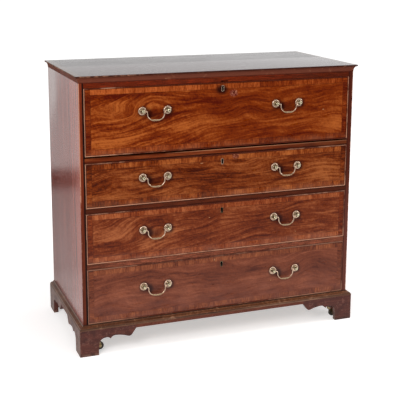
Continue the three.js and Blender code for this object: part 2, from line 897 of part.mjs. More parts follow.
// Knife hinge: barrel and pin on the hinge line, with a tongue let into the writing board.
function knifeHinge(x, grow) {
  const half = hingeWidth / 2 - fit + grow;
  const tongue = block(
    x - half, x + half, hingeY, boxFront + hingeReach + grow,
    hingeZ - hingeLeaf / 2 - grow, hingeZ + hingeLeaf / 2 + grow);
  if (grow) {
    return tongue;
  }
  const reach = hingeWidth / 2 + hingePinLength;
  return tongue
    .add(barX(barrelRadius, x - half, x + half, hingeY, hingeZ))
    .add(barX(hingePinRadius, x - reach, x + reach, hingeY, hingeZ));
}

function writingBoard() {
  let board = block(-innerHalf, innerHalf, boxFront, drawerRear, deskBottom, deskTop);
  for (const x of hingeCentres) {
    board = board.subtract(knifeHinge(x, fit / 2));
  }
  return board;
}

const secretaireSideTop = fallRow.z1 - drawerSideDrop;
const secretaireSideBottom = fallRow.floor + fit;
const rearSpan = [secretaireSideBottom, secretaireSideTop];

piece('secretaire_fall', fall(), figured);
for (const [sign, side] of [[-1, 'left'], [1, 'right']]) {
  const board = drawerSide(sign, ...rearSpan, boxFront, boxFront).subtract(quadrantSlot(sign));
  piece(`secretaire_${side}_side`, board, oak);
  piece(`quadrant_${side}`, quadrant(sign), brass);
}
let secretaireBack = block(
  -boxHalf, boxHalf, drawerRear - drawerBackThickness, drawerRear, deskTop, secretaireSideTop);
for (const sign of [-1, 1]) {
  secretaireBack = cutSockets(
    secretaireBack, ...rearSpan, drawerRear - drawerBackThickness, drawerRear + overrun, sign);
}
piece('secretaire_back', secretaireBack, oak);
piece('secretaire_writing_board', writingBoard(), mahogany);
['left', 'centre', 'right'].forEach((place, i) => {
  piece(`fall_hinge_${place}`, knifeHinge(hingeCentres[i], 0), brass);
});
bails('secretaire', fallHandleZ);

// Pigeonhole nest

const nestHalf = innerHalf - fit;
const nestRear = drawerRear - drawerBackThickness;
const nestCellBack = nestRear - nestBackThickness;
const drawerCellBottom = deskTop + nestBoard;
const drawerCellTop = drawerCellBottom + smallDrawerHeight + smallDrawerGap * 2;
const holeBottom = drawerCellTop + nestBoard;
const nestTop = secretaireSideTop - nestDrop;
const holeTop = nestTop - nestBoard;

// The spans of equal cells between dividers.
function cells(count) {
  const low = nestBoard - nestHalf;
  const width = (nestHalf * 2 - nestBoard * 2 - nestDivider * (count - 1)) / count;
  return Array.from({ length: count }, (_, i) => {
    const start = low + i * (width + nestDivider);
    return [start, start + width];
  });
}

// Front of a pigeonhole: a pointed cyma head hangs from the top of its valance.
function archedMouth([x0, x1]) {
  const middle = (x0 + x1) / 2;
  const spring = holeTop - valanceDrop;
  const shape = new THREE.Shape();
  shape.moveTo(x0, holeBottom);
  shape.lineTo(x1, holeBottom);
  shape.lineTo(x1, spring);
  shape.quadraticCurveTo((middle + x1) / 2, spring, (middle + x1 * 3) / 4, (spring + holeTop) / 2);
  shape.quadraticCurveTo((middle * 3 + x1) / 4, holeTop, middle, holeTop);
  shape.quadraticCurveTo((middle * 3 + x0) / 4, holeTop, (middle + x0 * 3) / 4, (spring + holeTop) / 2);
  shape.quadraticCurveTo((middle + x0) / 2, spring, x0, spring);
  shape.closePath();
  return prism(shape, 'xz', nestSetback - overrun, nestSetback + valanceThickness + overrun);
}

function pigeonholeNest() {
  let nest = block(-nestHalf, nestHalf, nestSetback, nestRear, deskTop, nestTop);
  for (const span of cells(pigeonholes)) {
    const behind = nestSetback + valanceThickness;
    nest = nest.subtract(block(span[0], span[1], behind, nestCellBack, holeBottom, holeTop));
    nest = nest.subtract(archedMouth(span));
  }
  for (const [x0, x1] of cells(smallDrawers)) {
    nest = nest.subtract(block(
      x0, x1, nestSetback - overrun, nestCellBack, drawerCellBottom, drawerCellTop));
  }
  return nest;
}

function smallDrawer([x0, x1]) {
  const low = x0 + smallDrawerGap;
  const high = x1 - smallDrawerGap;
  const z0 = drawerCellBottom + fit;
  const z1 = drawerCellTop - smallDrawerGap;
  const rear = nestCellBack - fit;
  const hollow = block(
    low + smallDrawerWall, high - smallDrawerWall,
    nestSetback + smallDrawerWall + beadWidth, rear - smallDrawerWall,
    z0 + smallDrawerFloor, z1 + overrun);
  const outline = knobShares.map(([out, along]) => [knobRadius * out, knobReach * along]);
  const stem = outline[0][0];
  const knob = turned([[0, -overrun], [stem, -overrun], ...outline, [0, knobReach]], rodSides);
  knob.rotateX(Math.PI);
  knob.translate((low + high) / 2, nestSetback, (z0 + z1) / 2);
  return beadedBoard(low, high, z0, z1, nestSetback, rear, beadWidth / 2, beadProud / 2)
    .subtract(hollow)
    .add(solid(knob));
}

piece('pigeonhole_nest', pigeonholeNest(), mahogany);
cells(smallDrawers).forEach((span, i) => {
  piece(`small_drawer_${i + 1}`, smallDrawer(span), figured);
});

// The origin is the middle of the footprint, on the floor.
const bounds = new THREE.Box3().setFromObject(chest);
chest.position.set(
  -(bounds.min.x + bounds.max.x) / 2, -(bounds.min.y + bounds.max.y) / 2, -bounds.min.z);

export default chest;
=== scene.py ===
"""Secretaire chest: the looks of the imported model, in metres, in the row's own frame.

The finishes come first, then the pieces that are added to the chest or stand for plainer
ones, and then the studio that it stands in.
"""
import fnmatch
import math
from types import SimpleNamespace

import bmesh
import bpy
import numpy as np
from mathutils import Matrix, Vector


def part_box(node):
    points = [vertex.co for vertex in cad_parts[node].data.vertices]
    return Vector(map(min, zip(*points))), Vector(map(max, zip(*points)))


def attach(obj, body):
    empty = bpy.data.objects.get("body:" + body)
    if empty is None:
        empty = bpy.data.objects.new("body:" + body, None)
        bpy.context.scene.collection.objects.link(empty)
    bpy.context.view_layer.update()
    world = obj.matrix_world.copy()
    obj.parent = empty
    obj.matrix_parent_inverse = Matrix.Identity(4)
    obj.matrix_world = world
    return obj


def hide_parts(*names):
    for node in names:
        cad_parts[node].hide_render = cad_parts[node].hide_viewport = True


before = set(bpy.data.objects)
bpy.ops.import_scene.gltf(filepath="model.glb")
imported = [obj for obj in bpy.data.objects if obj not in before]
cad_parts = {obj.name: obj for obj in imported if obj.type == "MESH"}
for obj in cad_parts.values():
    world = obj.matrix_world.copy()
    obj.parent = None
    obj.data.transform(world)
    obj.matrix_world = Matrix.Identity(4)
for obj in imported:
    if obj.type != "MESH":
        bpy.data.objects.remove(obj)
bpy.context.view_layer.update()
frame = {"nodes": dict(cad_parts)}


def corners(node):
    """The low and the high corner of a piece of the chest, to a hundredth of a millimetre."""
    return [[round(place, 5) for place in corner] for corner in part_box(node)]


# Case, and the width of the boards in its back
(_, CASE_FRONT, _), (CASE_HALF, CASE_BACK, CASE_TOP) = corners("right_side")
BACK_BOARD = 0.2168

# Bracket feet, and the moulding with its plinth strip over them
(foot_left, FOOT_FACE, _), (foot_right, _, FOOT_TOP) = corners("foot_front_left")
FOOT_OUTER = -foot_left
BRACKET = foot_right - foot_left
(_, _, PLINTH_BOTTOM), (_, _, BASE_TOP) = corners("base_moulding")

# Drawer fronts, the width of their cockbead and crossbanding, and the rails a gap below them
FRONT_HALF = corners("secretaire_fall")[1][0]
BEAD = 0.004
BAND = 0.0252
JOIN = 0.0003
RAIL = 0.0185
RAIL_TOPS = [corners(node)[0][2] - gap for node, gap in (
    ("drawer_3_front", 0.001), ("drawer_2_front", 0.001), ("secretaire_fall", 0.006))]

# Handles: the middle of each, and from there to its posts; how far its bolts stand out
HANDLE_X = sum(corner[0] for corner in corners("secretaire_bail_right")) / 2
POST_HALF = 0.04925
BOLT_STAND = 0.015

# Tones of the woods: dark, middle and light
FRONT_EDGE = ((0.07, 0.007, 0.001), (0.15, 0.022, 0.0022), (0.27, 0.062, 0.014))
TOP_WOOD = ((0.022, 0.01, 0.008), (0.042, 0.02, 0.016), (0.08, 0.038, 0.03))
OAK = ((0.17, 0.085, 0.035), (0.3, 0.165, 0.073), (0.42, 0.26, 0.127))


class Finish:
    """One finish: a node tree with short calls for the steps of a pattern."""

    def __init__(self, name):
        self.material = bpy.data.materials.new(name)
        self.material.use_nodes = True
        self.tree = self.material.node_tree
        self.tree.nodes.clear()
        self.place = self.new("ShaderNodeTexCoord").outputs["Object"]
        self.x, self.y, self.z = self.parts(self.place)

    def new(self, kind, **settings):
        node = self.tree.nodes.new(kind)
        for key, value in settings.items():
            setattr(node, key, value)
        return node

    def link(self, source, socket):
        self.tree.links.new(source, socket)

    def feed(self, socket, value):
        if isinstance(value, bpy.types.NodeSocket):
            self.link(value, socket)
        elif value is not None:
            socket.default_value = value

    def parts(self, vector):
        """The three numbers of a vector."""
        node = self.new("ShaderNodeSeparateXYZ")
        self.link(vector, node.inputs[0])
        return tuple(node.outputs)

    def op(self, kind, a, b=None, c=None):
        node = self.new("ShaderNodeMath", operation=kind)
        for socket, value in zip(node.inputs, (a, b, c)):
            self.feed(socket, value)
        return node.outputs[0]

    def add(self, *values):
        total = values[0]
        for value in values[1:]:
            total = self.op("ADD", total, value)
        return total

    def times(self, *values):
        total = values[0]
        for value in values[1:]:
            total = self.op("MULTIPLY", total, value)
        return total

    def less(self, a, b):
        return self.op("SUBTRACT", a, b)

    def rest(self, share):
        """What is left of one whole."""
        return self.less(1, share)

    def off(self, value, weight):
        """A noise value as a swing about nought, times a weight."""
        return self.op("MULTIPLY_ADD", value, weight, -0.5 * weight)

    def step(self, value, low, high, out_low=0, out_high=1):
        """A smooth step of a value from one limit to another."""
        node = self.new("ShaderNodeMapRange", interpolation_type="SMOOTHSTEP")
        if low > high:
            low, high, out_low, out_high = high, low, out_high, out_low
        for key, item in zip(("Value", "From Min", "From Max", "To Min", "To Max"),
                             (value, low, high, out_low, out_high)):
            self.feed(node.inputs[key], item)
        return node.outputs[0]

    def between(self, value, start, full, still, end):
        """A smooth rise from start to full, times a smooth fall from still to end."""
        return self.times(self.step(value, start, full), self.step(value, end, still))

    def hill(self, x0, z0, wide, high, z=None):
        """Bell-shaped hill over a point of the front: e to the minus squared distance."""
        across = self.op("MULTIPLY_ADD", self.x, 1 / wide, -x0 / wide)
        up = self.op("MULTIPLY_ADD", z or self.z, 1 / high, -z0 / high)
        far = self.op("MULTIPLY_ADD", across, across, self.times(up, up))
        return self.op("EXPONENT", self.times(far, -1))

    def sideways(self):
        """One where the surface faces left or right, nought where it faces the front."""
        facing = self.parts(self.new("ShaderNodeTexCoord").outputs["Normal"])
        return self.step(self.op("ABSOLUTE", facing[0]), 0.62, 0.78)

    def point(self, x=0, y=0, z=0):
        node = self.new("ShaderNodeCombineXYZ")
        for socket, value in zip(node.inputs, (x, y, z)):
            self.feed(socket, value)
        return node.outputs[0]

    def noise(self, vector, detail=3, rough=0.5, warp=0):
        node = self.new("ShaderNodeTexNoise")
        self.feed(node.inputs["Vector"], vector)
        node.inputs["Scale"].default_value = 1
        node.inputs["Detail"].default_value = detail
        node.inputs["Roughness"].default_value = rough
        node.inputs["Distortion"].default_value = warp
        return node.outputs["Fac"]

    def cloud(self, x, y, z, seed=0, detail=3, rough=0.5, warp=0):
        """Noise in lumps at three pitches to the metre, in a place of its own by its seed."""
        node = self.new("ShaderNodeVectorMath", operation="MULTIPLY_ADD")
        self.link(self.place, node.inputs[0])
        node.inputs[1].default_value = (x, y, z)
        node.inputs[2].default_value = (seed, seed * 0.7, seed * 1.3)
        return self.noise(node.outputs[0], detail, rough, warp)

    def grain(self, along, across, pitch, ratio, seed, detail=4, warp=0.4):
        """Grain lines: noise drawn out along the grain, at a pitch in lines per metre."""
        stretched = self.point(self.times(along, pitch * ratio), seed, self.times(across, pitch))
        return self.noise(stretched, detail, 0.6, warp)

    def pores(self, along, across, seed):
        """Short dark pores that run with the grain: fine drawn-out noise, cut off high."""
        fine = self.point(self.times(along, 90), seed, self.times(across, 1400))
        return self.step(self.noise(fine, 2, 0.6), 0.56, 0.68)

    def each_its_own(self, value):
        """A number of its own, by chance, for each whole step of a value."""
        node = self.new("ShaderNodeTexWhiteNoise", noise_dimensions="1D")
        self.link(self.op("FLOOR", value), node.inputs["W"])
        return node.outputs["Value"]

    def mix(self, share, a, b):
        node = self.new("ShaderNodeMix", data_type="RGBA")
        self.feed(node.inputs[0], share)
        for socket, value in ((node.inputs[6], a), (node.inputs[7], b)):
            self.feed(socket, (*value, 1) if isinstance(value, tuple) else value)
        return node.outputs[2]

    def ramp(self, value, *stops):
        node = self.new("ShaderNodeValToRGB")
        self.link(value, node.inputs[0])
        band = node.color_ramp
        while len(band.elements) < len(stops):
            band.elements.new(0.5)
        for element, (position, colour) in zip(band.elements, stops):
            element.position = position
            element.color = (*colour, 1)
        return node.outputs[0]

    def coat(self, tone, *shares):
        """Lay a tone over the colour, as strongly as its shares multiplied."""
        self.colour = self.mix(self.times(*shares), self.colour, tone)

    def close(self, relief, depth=0.00012, metal=0, bend=1.5):
        """The finished material; bend is how strongly its varnish bends light."""
        shader = self.new("ShaderNodeBsdfPrincipled")
        shader.inputs["IOR"].default_value = bend
        self.feed(shader.inputs["Base Color"], self.colour)
        self.feed(shader.inputs["Roughness"], self.gloss)
        self.feed(shader.inputs["Metallic"], metal)
        node = self.new("ShaderNodeBump")
        node.inputs["Distance"].default_value = depth
        self.link(relief, node.inputs["Height"])
        self.link(node.outputs[0], shader.inputs["Normal"])
        out = self.new("ShaderNodeOutputMaterial")
        self.link(shader.outputs[0], out.inputs["Surface"])
        return self.material


# What each front shows. Keyhole is how far its keyhole lies below its top edge, and handle how
# far its handles lie above its middle. Slope is the climb of the grain and how it bends. Hills
# are x, height, half width, half height and rise of the grain; shades the same with a change of
# tone. Streaks follow a grain line: its level, half width, middle, half length and change of
# tone. Calm is how strong the fine grain is at left and right. Field and border are dark, middle
# and light. Beads are how pale the left, right, top and bottom ones are rubbed. Bands are the
# tones of the border at top left and top right, at the sides, and at bottom left and right.
# Bloom is the dust low down: its colour, height and strength. A filling is an old mend beside
# the lock, chips are small: x, height, half width and half height.
FRONTS = {
    "secretaire_fall": dict(
        keyhole=0.018, handle=0.033, seed=2, slope=(0.11, -0.2),
        hills=((-0.3, 0.975, 0.12, 0.06, 0.04), (0.096, 0.92, 0.07, 0.05, 0.024),
               (-0.43, 0.925, 0.06, 0.03, -0.02)),
        shades=((-0.42, 0.988, 0.11, 0.012, -0.42), (-0.19, 0.975, 0.07, 0.01, 0.2),
                (-0.36, 0.95, 0.09, 0.022, 0.2), (-0.43, 0.905, 0.07, 0.026, 0.18),
                (-0.4, 0.822, 0.15, 0.034, 0.24), (-0.46, 0.874, 0.08, 0.012, -0.38),
                (-0.07, 0.94, 0.1, 0.04, -0.26), (-0.121, 0.884, 0.05, 0.009, -0.3),
                (-0.036, 0.872, 0.09, 0.01, 0.22), (0.05, 0.905, 0.1, 0.045, -0.12),
                (0.47, 0.835, 0.07, 0.036, 0.3), (0.196, 0.975, 0.07, 0.018, 0.06),
                (0.33, 0.965, 0.16, 0.03, -0.12), (0.3, 0.8, 0.2, 0.01, -0.16)),
        streaks=((0.905, 0.0045, -0.35, 0.2, 0.36), (0.93, 0.003, -0.22, 0.16, -0.3),
                 (0.888, 0.004, -0.3, 0.22, 0.26), (0.96, 0.003, -0.4, 0.1, 0.3),
                 (0.85, 0.004, 0.2, 0.25, 0.22), (0.835, 0.003, 0.1, 0.3, -0.2),
                 (0.985, 0.003, -0.3, 0.2, -0.26)),
        calm=(1.1, 0.75), field=((0.085, 0.005, 0.0002), (0.2, 0.027, 0.0008), (0.415, 0.1, 0.016)),
        border=((0.085, 0.006, 0.0005), (0.215, 0.031, 0.002), (0.48, 0.11, 0.022)),
        beads=(0.95, 0.6, -0.4, 0.05), bands=(0.3, -0.12, -0.24, 0.06, -0.26),
        bloom=((0.26, 0.088, 0.042), 0.13, 0.65), filling=(0.044, 0.977, 0.019, 0.015),
        chips=((0.31, 0.925, 0.004, 0.0015), (0.43, 0.893, 0.0045, 0.0022)),
        stain=(-0.004, 0.009, 0.027, 0.019, 0.92), knock=(-0.443, 0.024, 0.004, 1.2), fade=(0.3, -0.5),
        bend=1.24),
    "drawer_2_front": dict(
        keyhole=0.0235, handle=0.017, seed=5.3, slope=(0.04, -0.06),
        hills=((-0.1, 0.63, 0.12, 0.05, 0.03), (0.08, 0.69, 0.08, 0.04, -0.02),
               (-0.43, 0.66, 0.08, 0.04, 0.012)),
        shades=((-0.42, 0.606, 0.12, 0.014, 0.26), (-0.46, 0.66, 0.06, 0.016, -0.14),
                (-0.15, 0.65, 0.12, 0.045, -0.14), (-0.04, 0.7, 0.05, 0.014, 0.12),
                (0.06, 0.64, 0.09, 0.03, -0.1), (0.16, 0.721, 0.09, 0.01, 0.42),
                (0.44, 0.655, 0.1, 0.035, 0.2), (0.45, 0.615, 0.08, 0.014, 0.12)),
        streaks=((0.64, 0.004, -0.35, 0.2, 0.24), (0.668, 0.003, -0.1, 0.2, -0.24),
                 (0.655, 0.0035, 0.3, 0.22, 0.24)),
        calm=(1, 0.95), field=((0.052, 0.005, 0.0006), (0.172, 0.027, 0.002), (0.37, 0.102, 0.024)),
        border=((0.055, 0.006, 0.0006), (0.195, 0.031, 0.0025), (0.44, 0.118, 0.024)),
        beads=(0.85, 0.5, 0.05, 0.75), bands=(0.1, 0.12, -0.22, -0.06, 0.06),
        bloom=((0.3, 0.115, 0.06), 0.2, 0.5), filling=(0.056, 0.73, 0.016, 0.013),
        chips=((0.235, 0.66, 0.002, 0.002), (-0.085, 0.712, 0.008, 0.0015)), bend=1.28),
    "drawer_3_front": dict(
        keyhole=0.027, handle=0.017, seed=8.9, slope=(0.12, -0.18),
        hills=((0.02, 0.45, 0.16, 0.08, 0.02), (-0.3, 0.5, 0.08, 0.05, 0.02)),
        shades=((-0.43, 0.462, 0.1, 0.036, 0.2), (-0.47, 0.425, 0.05, 0.012, -0.3),
                (-0.3, 0.412, 0.12, 0.018, 0.18), (-0.1, 0.5, 0.1, 0.02, -0.14),
                (0.1, 0.44, 0.16, 0.04, -0.06), (0.42, 0.43, 0.1, 0.04, 0.08)),
        streaks=((0.52, 0.0035, -0.42, 0.1, 0.34), (0.48, 0.0035, -0.3, 0.2, 0.2),
                 (0.47, 0.003, 0.1, 0.3, -0.2)),
        calm=(0.95, 0.85), field=((0.07, 0.007, 0.001), (0.178, 0.029, 0.0045), (0.38, 0.108, 0.034)),
        border=((0.07, 0.007, 0.001), (0.205, 0.032, 0.0045), (0.43, 0.118, 0.036)),
        beads=(0.8, 0.4, 0.1, 0.75), bands=(0.1, 0.1, -0.26, 0, 0.08),
        bloom=((0.31, 0.125, 0.078), 0.22, 0.5),
        chips=((-0.052, 0.494, 0.003, 0.002), (0.32, 0.4, 0.002, 0.002)), bend=1.32),
    "drawer_4_front": dict(
        keyhole=0.031, handle=0.017, seed=13.6, slope=(0.03, -0.1),
        hills=((0.4, 0.27, 0.08, 0.05, 0.04), (-0.35, 0.24, 0.16, 0.07, 0.03)),
        shades=((-0.3, 0.285, 0.12, 0.014, -0.14), (0.12, 0.262, 0.07, 0.018, -0.2),
                (0.44, 0.235, 0.1, 0.016, -0.16), (-0.16, 0.21, 0.16, 0.02, 0.1),
                (0.3, 0.18, 0.16, 0.02, 0.08)),
        calm=(0.72, 0.62), field=((0.07, 0.01, 0.003), (0.168, 0.036, 0.013), (0.31, 0.088, 0.04)),
        border=((0.065, 0.009, 0.002), (0.172, 0.035, 0.01), (0.34, 0.098, 0.034)),
        beads=(0.6, 0.3, 0.4, 0.3), bands=(0.03, 0.06, -0.12, -0.04, 0.04),
        bloom=((0.195, 0.066, 0.046), 0.8, 0.45),
        chips=((-0.03, 0.32, 0.002, 0.005), (0.215, 0.205, 0.002, 0.002)), seam=0.25,
        rubbed=(0.36, 0.16, 0.095), bend=1.36),
}

# Seam is how dark the line inside the border is, rubbed the colour of a worn bead. Stain is the
# dirt round the lock: x, drop, half width, half height and strength. Knock is a worn place on
# the top bead: x, half width, half height and strength. Fade is added to the wear of the level
# beads at left and at right.
USUAL = dict(streaks=(), filling=None, seam=0.55, rubbed=(0.5, 0.235, 0.14),
             stain=(0.0, 0.006, 0.019, 0.021, 0.2), knock=None, fade=None)


def known(node, given):
    """The facts of one front, with its own levels and the bodies and names that go with it."""
    facts = SimpleNamespace(**{**USUAL, **given})
    (_, _, facts.bottom), (_, _, facts.top) = corners(node)
    facts.height = facts.top - facts.bottom
    facts.keyhole = facts.top - facts.keyhole
    facts.handle = (facts.bottom + facts.top) / 2 + facts.handle
    facts.drawer = node.rsplit("_", 1)[0]
    facts.body = "fall" if node == "secretaire_fall" else facts.drawer
    return facts


FRONTS = {node: known(node, given) for node, given in FRONTS.items()}

# Where in its tones a veneer is dark, middle and light
VENEER_STOPS = (0.05, 0.47, 0.98)


def lie_of_grain(f, facts):
    """Height less the slope and the hills, which stays the same along a grain line."""
    climb, turn = facts.slope
    sway = f.cloud(3, 0, 6, facts.seed, 2)
    slope = f.times(f.x, f.op("MULTIPLY_ADD", f.x, turn / 2, climb))
    lie = f.add(f.less(f.z, slope), f.off(sway, 0.11))
    for x0, z0, wide, high, rise in facts.hills:
        lie = f.less(lie, f.times(f.hill(x0, z0, wide, high), rise))
    return lie


def figured_field(f, facts):
    """Grain of three pitches, clouds and ripple, with streaks and shaded places."""
    broad = f.grain(f.x, f.lie, 26, 0.14, facts.seed, 3, 0.8)
    middle = f.grain(f.x, f.lie, 80, 0.075, facts.seed + 3.1, 4, 0.5)
    cloud = f.cloud(6, 0, 11, facts.seed + 1.7, 3, 0.6, 0.5)
    slant = f.point(f.add(f.times(f.x, 70), f.times(f.lie, 90)), facts.seed,
                    f.less(f.times(f.lie, 30), f.times(f.x, 40)))
    ripple = f.noise(slant, 2, 0.6, 0.6)
    small = f.add(f.off(middle, 1.35), f.off(f.fine, 1.3), f.off(f.mottle, 0.8),
                  f.off(ripple, 0.55))
    small = f.times(small, f.step(f.x, -0.25, 0.05, *facts.calm))
    tone = f.add(0.5, f.off(broad, 0.9), f.off(cloud, 0.8), small)
    for line, narrow, x0, wide, shade in facts.streaks:
        tone = f.op("MULTIPLY_ADD", f.hill(x0, line, wide, narrow, f.lie), shade, tone)
    for x0, z0, wide, high, shade in facts.shades:
        tone = f.op("MULTIPLY_ADD", f.hill(x0, z0, wide, high), shade, tone)
    return f.ramp(tone, *zip(VENEER_STOPS, facts.field))


def crossbanding(f, facts, across, upright):
    """Short lengths, each of its own shade, with the grain across the border."""
    top_left, top_right, sides, low_left, low_right = facts.bands
    length = f.each_its_own(f.op("MULTIPLY_ADD", across, 13, facts.seed))
    bars = f.noise(f.point(f.times(across, 75), facts.seed, f.times(f.edge, 18)), 3, 0.6)
    lines = f.noise(f.point(f.times(across, 260), facts.seed, f.times(f.edge, 40)), 3, 0.7)
    patch = f.noise(f.point(f.times(across, 9), facts.seed + 9), 2)
    to_right = f.step(f.x, -0.45, 0.45)
    level = f.add(f.times(f.step(to_right, 0, 1, top_left, top_right), f.upper),
                  f.times(f.step(to_right, 0, 1, low_left, low_right), f.rest(f.upper)))
    shade = f.add(0.5, f.off(bars, 1.1), f.off(lines, 1.45), f.off(length, 0.26),
                  f.off(patch, 0.7), f.off(f.mottle, 0.6), f.times(level, f.rest(upright)),
                  f.times(upright, sides))
    return f.ramp(shade, *zip(VENEER_STOPS, facts.border))


def bloomed(f, facts):
    """Dusty bloom low down on the front."""
    dust_and_sheen, share, strength = facts.bloom
    f.coat(dust_and_sheen, f.step(f.up, facts.height * share, 0), f.step(f.dust, 0.3, 0.7), strength)


def grime_and_painted_shade(f, facts):
    """Dirt round the lock and each post; painted shade and shadow inside each bail."""
    x0, drop, wide, high, strength = facts.stain
    stain = f.add(f.hill(x0, facts.keyhole - drop, wide, high), f.off(f.mottle, 0.5))
    f.coat((0.014, 0.001, 0.001), f.step(stain, 0.12, 0.8), strength)
    for centre in (-HANDLE_X, HANDLE_X):
        for post in (centre - POST_HALF, centre + POST_HALF):
            ring = f.hill(post + 0.004, facts.handle - 0.002, 0.024, 0.024)
            f.coat((0.028, 0.003, 0.001), f.step(ring, 0.2, 0.75, 0, 0.8))
        # Painted shade inside the bail, below the line of its posts.
        f.coat((0.05, 0.004, 0.001), f.hill(centre - 0.003, facts.handle - 0.018, 0.036, 0.018), 0.64)
        # Painted shadow of the bail's left arm, on the front.
        shadow = f.hill(centre - POST_HALF + 0.027, facts.handle - 0.012, 0.014, 0.022)
        f.coat((0.016, 0.001, 0.0005), f.step(shadow, 0.05, 0.95, 0, 0.85))


def mended(f, facts):
    """An old filling beside the lock, and small pale chips."""
    flecks = f.cloud(330, 0, 300, facts.seed + 4, 3, 0.7)
    if facts.filling:
        fill = f.add(f.hill(*facts.filling), f.off(flecks, 1.2))
        paste = f.ramp(f.mottle, (0.4, (0.03, 0.002, 0.004)), (0.5, (0.15, 0.02, 0.018)),
                       (0.62, (0.42, 0.19, 0.12)))
        f.coat(paste, f.step(fill, 0.3, 0.7), 0.75)
    for place in facts.chips:
        chip = f.add(f.hill(*place), f.off(flecks, 0.5))
        f.coat((0.52, 0.27, 0.13), f.step(chip, 0.4, 0.6), 0.75)


def beaded(f, facts):
    """Cockbead, pale where it is rubbed, with painted shade in the quirk inside it and on its rim."""
    left, right, top, bottom = facts.beads
    wear = f.cloud(26, 0, 26, facts.seed + 7, 4, 0.7)
    on_side = f.step(f.side, BEAD, BEAD - 0.001)
    ends = f.step(f.op("ABSOLUTE", f.add(f.x, 0.06)), 0.24, 0.36, 0, 0.45)
    level = f.add(f.step(f.upper, 0, 1, bottom, top), ends)
    upright = f.add(f.step(f.step(f.x, -0.01, 0.01), 0, 1, left, right),
                    f.step(f.up, 0.05, 0.02, 0, 0.4))
    rub = f.add(f.times(on_side, upright), f.times(f.rest(on_side), level))
    if facts.knock:
        x0, wide, high, strength = facts.knock
        rub = f.add(rub, f.times(f.hill(x0, facts.top, wide, high), strength))
    if facts.fade:
        rub = f.add(rub, f.times(f.rest(on_side), f.step(f.x, -0.3, 0.3, *facts.fade)))
    pale = f.step(f.add(rub, f.off(wear, 1.6)), 0.25, 0.85)
    bead = f.mix(pale, (0.115, 0.016, 0.004), facts.rubbed)
    # Painted shade in the gap round the front: the outer rim dark, half as dark on the upper half.
    rim = f.times(f.step(f.edge, 0.0014, 0.0007), f.rest(f.times(f.upper, 0.5)))
    bead = f.mix(rim, bead, (0.02, 0.003, 0.001))
    # Painted shade in the quirk between the bead and the border.
    quirk = f.between(f.edge, BEAD - 0.0006, BEAD, BEAD + 0.0008, BEAD + 0.0024)
    f.coat((0.02, 0.003, 0.001), quirk, 0.85)
    f.coat(bead, f.step(f.edge, BEAD, BEAD - 0.0004))


def keyhole(f, facts):
    """Painted shade in the hole under the thread: a round eye over a slot, as deep as the hole is."""
    above = f.less(f.z, facts.keyhole)
    far = f.op("SQRT", f.op("MULTIPLY_ADD", f.x, f.x, f.times(above, above)))
    slot = f.times(f.step(f.op("ABSOLUTE", f.x), 0.004, 0.0036),
                   f.between(above, -0.0158, -0.0152, 0, 0.001))
    return f.times(f.op("MAXIMUM", f.step(far, 0.0046, 0.0043), slot),
                   f.step(f.y, CASE_FRONT + 0.0128, CASE_FRONT + 0.0124))


def veneered_front(name, facts):
    """Figured field inside a crossbanded border, with a rubbed cockbead round it.

    The grain runs along level lines of height less a slope, its bend and some hills, so it
    climbs to the right and bows over the hills.
    """
    f = Finish(name)
    seed = facts.seed
    f.up = f.less(f.z, facts.bottom)
    f.side = f.less(FRONT_HALF, f.op("ABSOLUTE", f.x))
    f.edge = f.op("MINIMUM", f.side, f.op("MINIMUM", f.up, f.less(facts.top, f.z)))
    f.upper = f.step(f.up, facts.height * 0.45, facts.height * 0.55)
    f.lie = lie_of_grain(f, facts)
    f.fine = f.grain(f.x, f.lie, 230, 0.055, seed + 6.4, 3, 0.3)
    f.mottle = f.cloud(120, 0, 130, seed + 5, 3, 0.7, 0.4)
    f.dust = f.cloud(14, 0, 40, seed + 2.2, 4, 0.6)

    upright = f.step(f.side, BAND + JOIN, BAND - JOIN)
    across = f.add(f.times(f.x, f.rest(upright)), f.times(f.z, upright))
    in_border = f.step(f.edge, BAND + JOIN, BAND - JOIN)
    f.colour = figured_field(f, facts)
    f.coat(crossbanding(f, facts, across, upright), in_border)
    line = f.between(f.edge, BAND - 0.0012, BAND - 0.0002, BAND, BAND + 0.0022)
    f.coat((0.045, 0.006, 0.002), line, facts.seam)
    pits = f.add(f.times(f.pores(f.x, f.lie, seed), f.rest(in_border)),
                 f.times(f.pores(f.edge, across, seed), in_border))
    f.coat((0.04, 0.006, 0.002), pits, 0.38)
    for layer in (bloomed, grime_and_painted_shade, mended, beaded):
        layer(f, facts)

    # The inside face and the ends of the board are plain mahogany.
    behind = f.step(f.y, CASE_FRONT + 0.001, CASE_FRONT + 0.0018)
    plain = f.ramp(f.grain(f.x, f.z, 60, 0.05, seed + 11), (0.3, (0.09, 0.026, 0.01)),
                   (0.7, (0.22, 0.08, 0.034)))
    f.coat(plain, behind)
    # Painted shade: the keyhole, and the wood just inside its thread, painted black.
    f.coat((0.003, 0.001, 0.001), keyhole(f, facts))
    f.gloss = f.add(f.step(f.dust, 0.2, 0.8, 0.26, 0.34), f.times(behind, 0.2))
    relief = f.less(f.less(f.times(f.fine, 0.15), f.times(pits, 0.5)), f.times(line, 0.8))
    return f.close(f.add(relief, f.times(f.cloud(20, 0, 9, 0, 2), 0.8)), bend=facts.bend)


